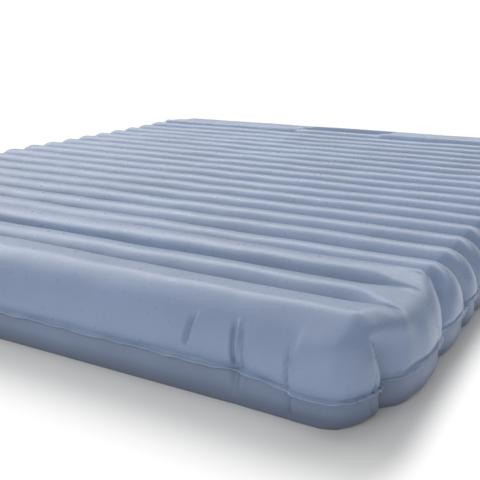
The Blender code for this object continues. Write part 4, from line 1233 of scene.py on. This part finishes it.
def build_socket():
    socket = rounded_box("port_socket_housing", (0.0740, 0.0440, 0.0025),
                         (0, BAY_Y, GASKET_Z + 0.00125), BLACK, 0.004, 0.0005, 2)
    lower_top = GASKET_Z + 0.001
    parts = [rounded_box("tool", (0.0680, 0.0310, SOCKET_TOP - GASKET_Z),
                         (0, BAY_Y, 0.5 * (SOCKET_TOP + GASKET_Z)), BLACK, 0.0035, 0.0008, 3),
             rounded_box("tool", (0.0560, 0.0340, lower_top - SOCKET_FOOT),
                         (0, BAY_Y, 0.5 * (lower_top + SOCKET_FOOT)), BLACK, 0.002, 0.0004, 2)]
    for side in (-1, 1):
        x = side * LUG_X
        parts.append(rounded_box("tool", (0.0037, 0.0060, 0.0070),
                                 (x, LID_HINGE_Y - 0.0013, LID_HINGE_Z - 0.0031), BLACK,
                                 edge=0.0003, segments=2))
        parts.append(cylinder("tool", BARREL, 0.0040, (x, LID_HINGE_Y, LID_HINGE_Z), 'X', BLACK,
                              48, 0.0003))
    combine(socket, parts, 'UNION')
    # sleeve bores, button pockets and hinge holes
    cuts = []
    for side in (-1, 1):
        cuts.append(rod_cutter(0.00925, 0.10, (side * PORT_X, BAY_Y, 0.07), segments=72))
        cuts.append(box_cutter((0.0160, 0.0130, 0.0080), (side * 0.0340, BAY_Y, BUTTON_Z),
                               edge=0.0006, segments=2))
        cuts.append(rod_cutter(PIN_HOLE, 0.008, (side * LUG_X, LID_HINGE_Y, LID_HINGE_Z), 'X'))
    combine(socket, cuts, 'DIFFERENCE')
    piece(socket, "port_socket")


def build_ports():
    top = SOCKET_TOP - 0.0005
    sleeve = [(0.0090, top), (0.0090, 0.0480), (0.0045, 0.0480), (0.0045, 0.0400),
              (0.0030, 0.0400), (0.0030, 0.0500), (0.0065, 0.0500), (0.0065, 0.0620),
              (0.0045, 0.0620), (0.0045, 0.0640), (0.0065, 0.0640), (0.0065, top)]
    poppet = [(0.0, 0.0840), (0.0016, 0.0840), (0.0016, 0.0617), (0.0058, 0.0617),
              (0.0058, 0.0600), (0.0020, 0.0592), (0.0020, 0.0560), (0.0, 0.0560)]
    for side, tag in PORTS:
        centre = (side * PORT_X, BAY_Y)
        ob = lathe("port_sleeve_%s_brass" % tag, sleeve, centre, BRASS)
        piece(ob, "port_sleeve_" + tag)
        ob = lathe("port_poppet_%s_stem" % tag, poppet, centre, BLUE, 56, 0.0003, closed=False)
        piece(ob, "port_poppet_" + tag, "port_poppet_%s_body" % tag)
        spring("port_spring_" + tag, centre, 0.0036, 0.0004, 0.0508, 0.0586, 3.5)


def build_release_buttons():
    for side, tag in SIDES:
        ob = rounded_box("release_button_%s_key" % tag, (0.0084, 0.0122, 0.0072),
                         (side * 0.0338, BAY_Y, BUTTON_Z), BLUE, edge=0.0009, segments=3)
        # three finger grooves in the outer face
        combine(ob, [box_cutter((0.0010, 0.0080, 0.0006), (side * 0.0380, BAY_Y, BUTTON_Z + z))
                     for z in (-0.0018, 0.0, 0.0018)], 'DIFFERENCE')
        piece(ob, "release_button_" + tag, "release_%s_body" % tag)


def build_transport_cap():
    hinge = (0, LID_HINGE_Y, LID_HINGE_Z)
    under = SOCKET_TOP + GAP
    lid = rounded_box("transport_cap_lid", (0.0560, 0.0330, 0.0030),
                      (0, BAY_Y - 0.0005, under + 0.0015), BLUE, 0.003, 0.0007, 3)
    combine(lid, [rounded_box("tool", (0.0290, 0.0040, 0.0026),
                              (0, BAY_Y + 0.0170, under + 0.0014), BLUE,
                              edge=0.0003, segments=2),
                  cylinder("tool", BARREL, 0.0300, hinge, 'X', BLUE, 48, 0.0003)], 'UNION')
    # pin hole, and room for the socket's lugs
    combine(lid, [rod_cutter(PIN_HOLE, 0.04, hinge, 'X')]
            + [box_cutter((0.0120, 0.0060, 0.02), (side * 0.0213, BAY_Y + 0.0162, SOCKET_TOP))
               for side in (-1, 1)], 'DIFFERENCE')
    piece(lid, "transport_cap", "transport_cap_body")
    ob = cylinder("transport_cap_pin_rod", PIN, 0.0408, hinge, 'X', STEEL, 48, 0.0002)
    piece(ob, "transport_cap_pin")


# ---------------------------------------------------------------- stage
def build_floor():
    """Shaded floor close to the mattress, fading out to plain white."""
    half = 40.0
    me = bpy.data.meshes.new("studio_floor")
    me.from_pydata([(x * half, y * half, -0.0004)
                    for x, y in ((-1, -1), (1, -1), (1, 1), (-1, 1))], [], [(0, 1, 2, 3)])
    mat, tree, bsdf = new_mat("studio_floor")
    set_inputs(bsdf, {"Base Color": (0.75, 0.75, 0.745, 1), "Roughness": 0.9,
                      "Specular IOR Level": 0.1})
    # distance out from the mattress's footprint, counted faster along x
    coords = add_node(tree, "ShaderNodeTexCoord").outputs["Object"]
    out = vector_node(tree, 'ABSOLUTE', coords).outputs[0]
    out = vector_node(tree, 'SUBTRACT', out, (0.76, 0.98, 10.0)).outputs[0]
    # the zero vector is truthy as a tuple, so it is set like the others
    out = vector_node(tree, 'MAXIMUM', out, (0.0, 0.0, 0.0)).outputs[0]
    out = vector_node(tree, 'MULTIPLY', out, (2.5, 1.0, 1.0)).outputs[0]
    distance = vector_node(tree, 'LENGTH', out).outputs["Value"]
    fade = map_range(tree, distance, source=(0.055, 0.190), smooth=True)
    glow = add_node(tree, "ShaderNodeEmission", Strength=1.02)
    mix = add_node(tree, "ShaderNodeMixShader")
    for i, source in enumerate((fade, bsdf.outputs["BSDF"], glow.outputs[0])):
        tree.links.new(source, mix.inputs[i])
    tree.links.new(mix.outputs[0], tree.nodes["Material Output"].inputs["Surface"])
    add_object("studio_floor", me, [mat])


DOME = 0.02             # level of the whole sky
BACKDROP, BANK = 0.60, 3.4   # low backdrop and strong high bank beyond the head end
BACK = (-0.495, 0.869, 0.0)
# (direction, level) of the fills: front, left and right as the camera sees them
FILLS = (((0.495, -0.869, 0.0), 0.84), ((-0.869, -0.495, 0.0), 0.60),
         ((0.869, 0.495, 0.0), 0.09))


def build_world():
    """Soft sources round the set; the camera itself sees plain white."""
    world = bpy.data.worlds.new("studio")
    bpy.context.scene.world = world
    world.use_nodes = True
    tree = world.node_tree
    tree.nodes.clear()
    direction = add_node(tree, "ShaderNodeTexCoord").outputs["Generated"]
    split = add_node(tree, "ShaderNodeSeparateXYZ")
    tree.links.new(direction, split.inputs[0])
    up = split.outputs[2]

    def span(value, start, end):
        return map_range(tree, value, source=(start, end), smooth=True)

    def toward(heading, start, end):
        facing = vector_node(tree, 'DOT_PRODUCT', direction, heading).outputs["Value"]
        return span(facing, start, end)

    def both(first, second):
        return math_node(tree, 'MULTIPLY', first, second)

    above = span(up, -0.05, 0.02)
    backdrop = both(toward(BACK, 0.35, 0.85), both(span(up, 0.60, 0.30), above))
    bank = both(toward(BACK, 0.10, 0.60), both(span(up, 0.85, 0.60), span(up, 0.35, 0.60)))
    sources = [(backdrop, BACKDROP), (bank, BANK)]
    sources += [(both(toward(heading, 0.10, 0.70), above), level) for heading, level in FILLS]
    total = DOME
    for source, level in sources:
        total = math_node(tree, 'ADD', both(source, level), total)
    lit = add_node(tree, "ShaderNodeBackground", Strength=1.0)
    tree.links.new(total, lit.inputs["Color"])
    seen = add_node(tree, "ShaderNodeBackground", Color=(1, 1, 1, 1), Strength=1.05)
    camera_ray = add_node(tree, "ShaderNodeLightPath").outputs["Is Camera Ray"]
    mix = add_node(tree, "ShaderNodeMixShader")
    for i, source in enumerate((camera_ray, lit.outputs[0], seen.outputs[0])):
        tree.links.new(source, mix.inputs[i])
    output = add_node(tree, "ShaderNodeOutputWorld")
    tree.links.new(mix.outputs[0], output.inputs["Surface"])


def build_light():
    light = bpy.data.lights.new("key_overhead", 'AREA')
    light.shape = 'RECTANGLE'
    light.size = 4.0
    light.size_y = 4.0
    light.energy = 44.0
    ob = add_object("key_overhead", light)
    ob.location = (-1.3, 0.5, 3.4)
    to_centre = Vector((0, 0, 0)) - Vector((-1.3, 0.5, 3.4))
    ob.rotation_euler = to_centre.to_track_quat('-Z', 'Y').to_euler()


def build_camera():
    """Beyond the foot end on the +x side, looking down along the mattress."""
    camera = bpy.data.cameras.new("camera")
    camera.lens = 55.25
    camera.sensor_width = 36
    camera.clip_end = 200
    ob = add_object("camera", camera)
    ob.location = (11.885 * PITCH, y_at(-9.104), (4.12 + CREST) * PITCH)
    ob.rotation_euler = (math.radians(90 - 15.85), 0, math.radians(29.66))
    scene = bpy.context.scene
    scene.camera = ob
    view = scene.view_settings
    view.view_transform = 'Standard'
    view.look = 'None'
    view.exposure = 0.0
    view.gamma = 1.0


build_cover()
build_cells()
build_base()
build_hoses()
build_tray_and_panel()
build_screws()
build_gaskets()
build_fill_valve()
build_cpr_valve()
build_socket()
build_ports()
build_release_buttons()
build_transport_cap()
build_floor()
build_world()
build_light()
build_camera()
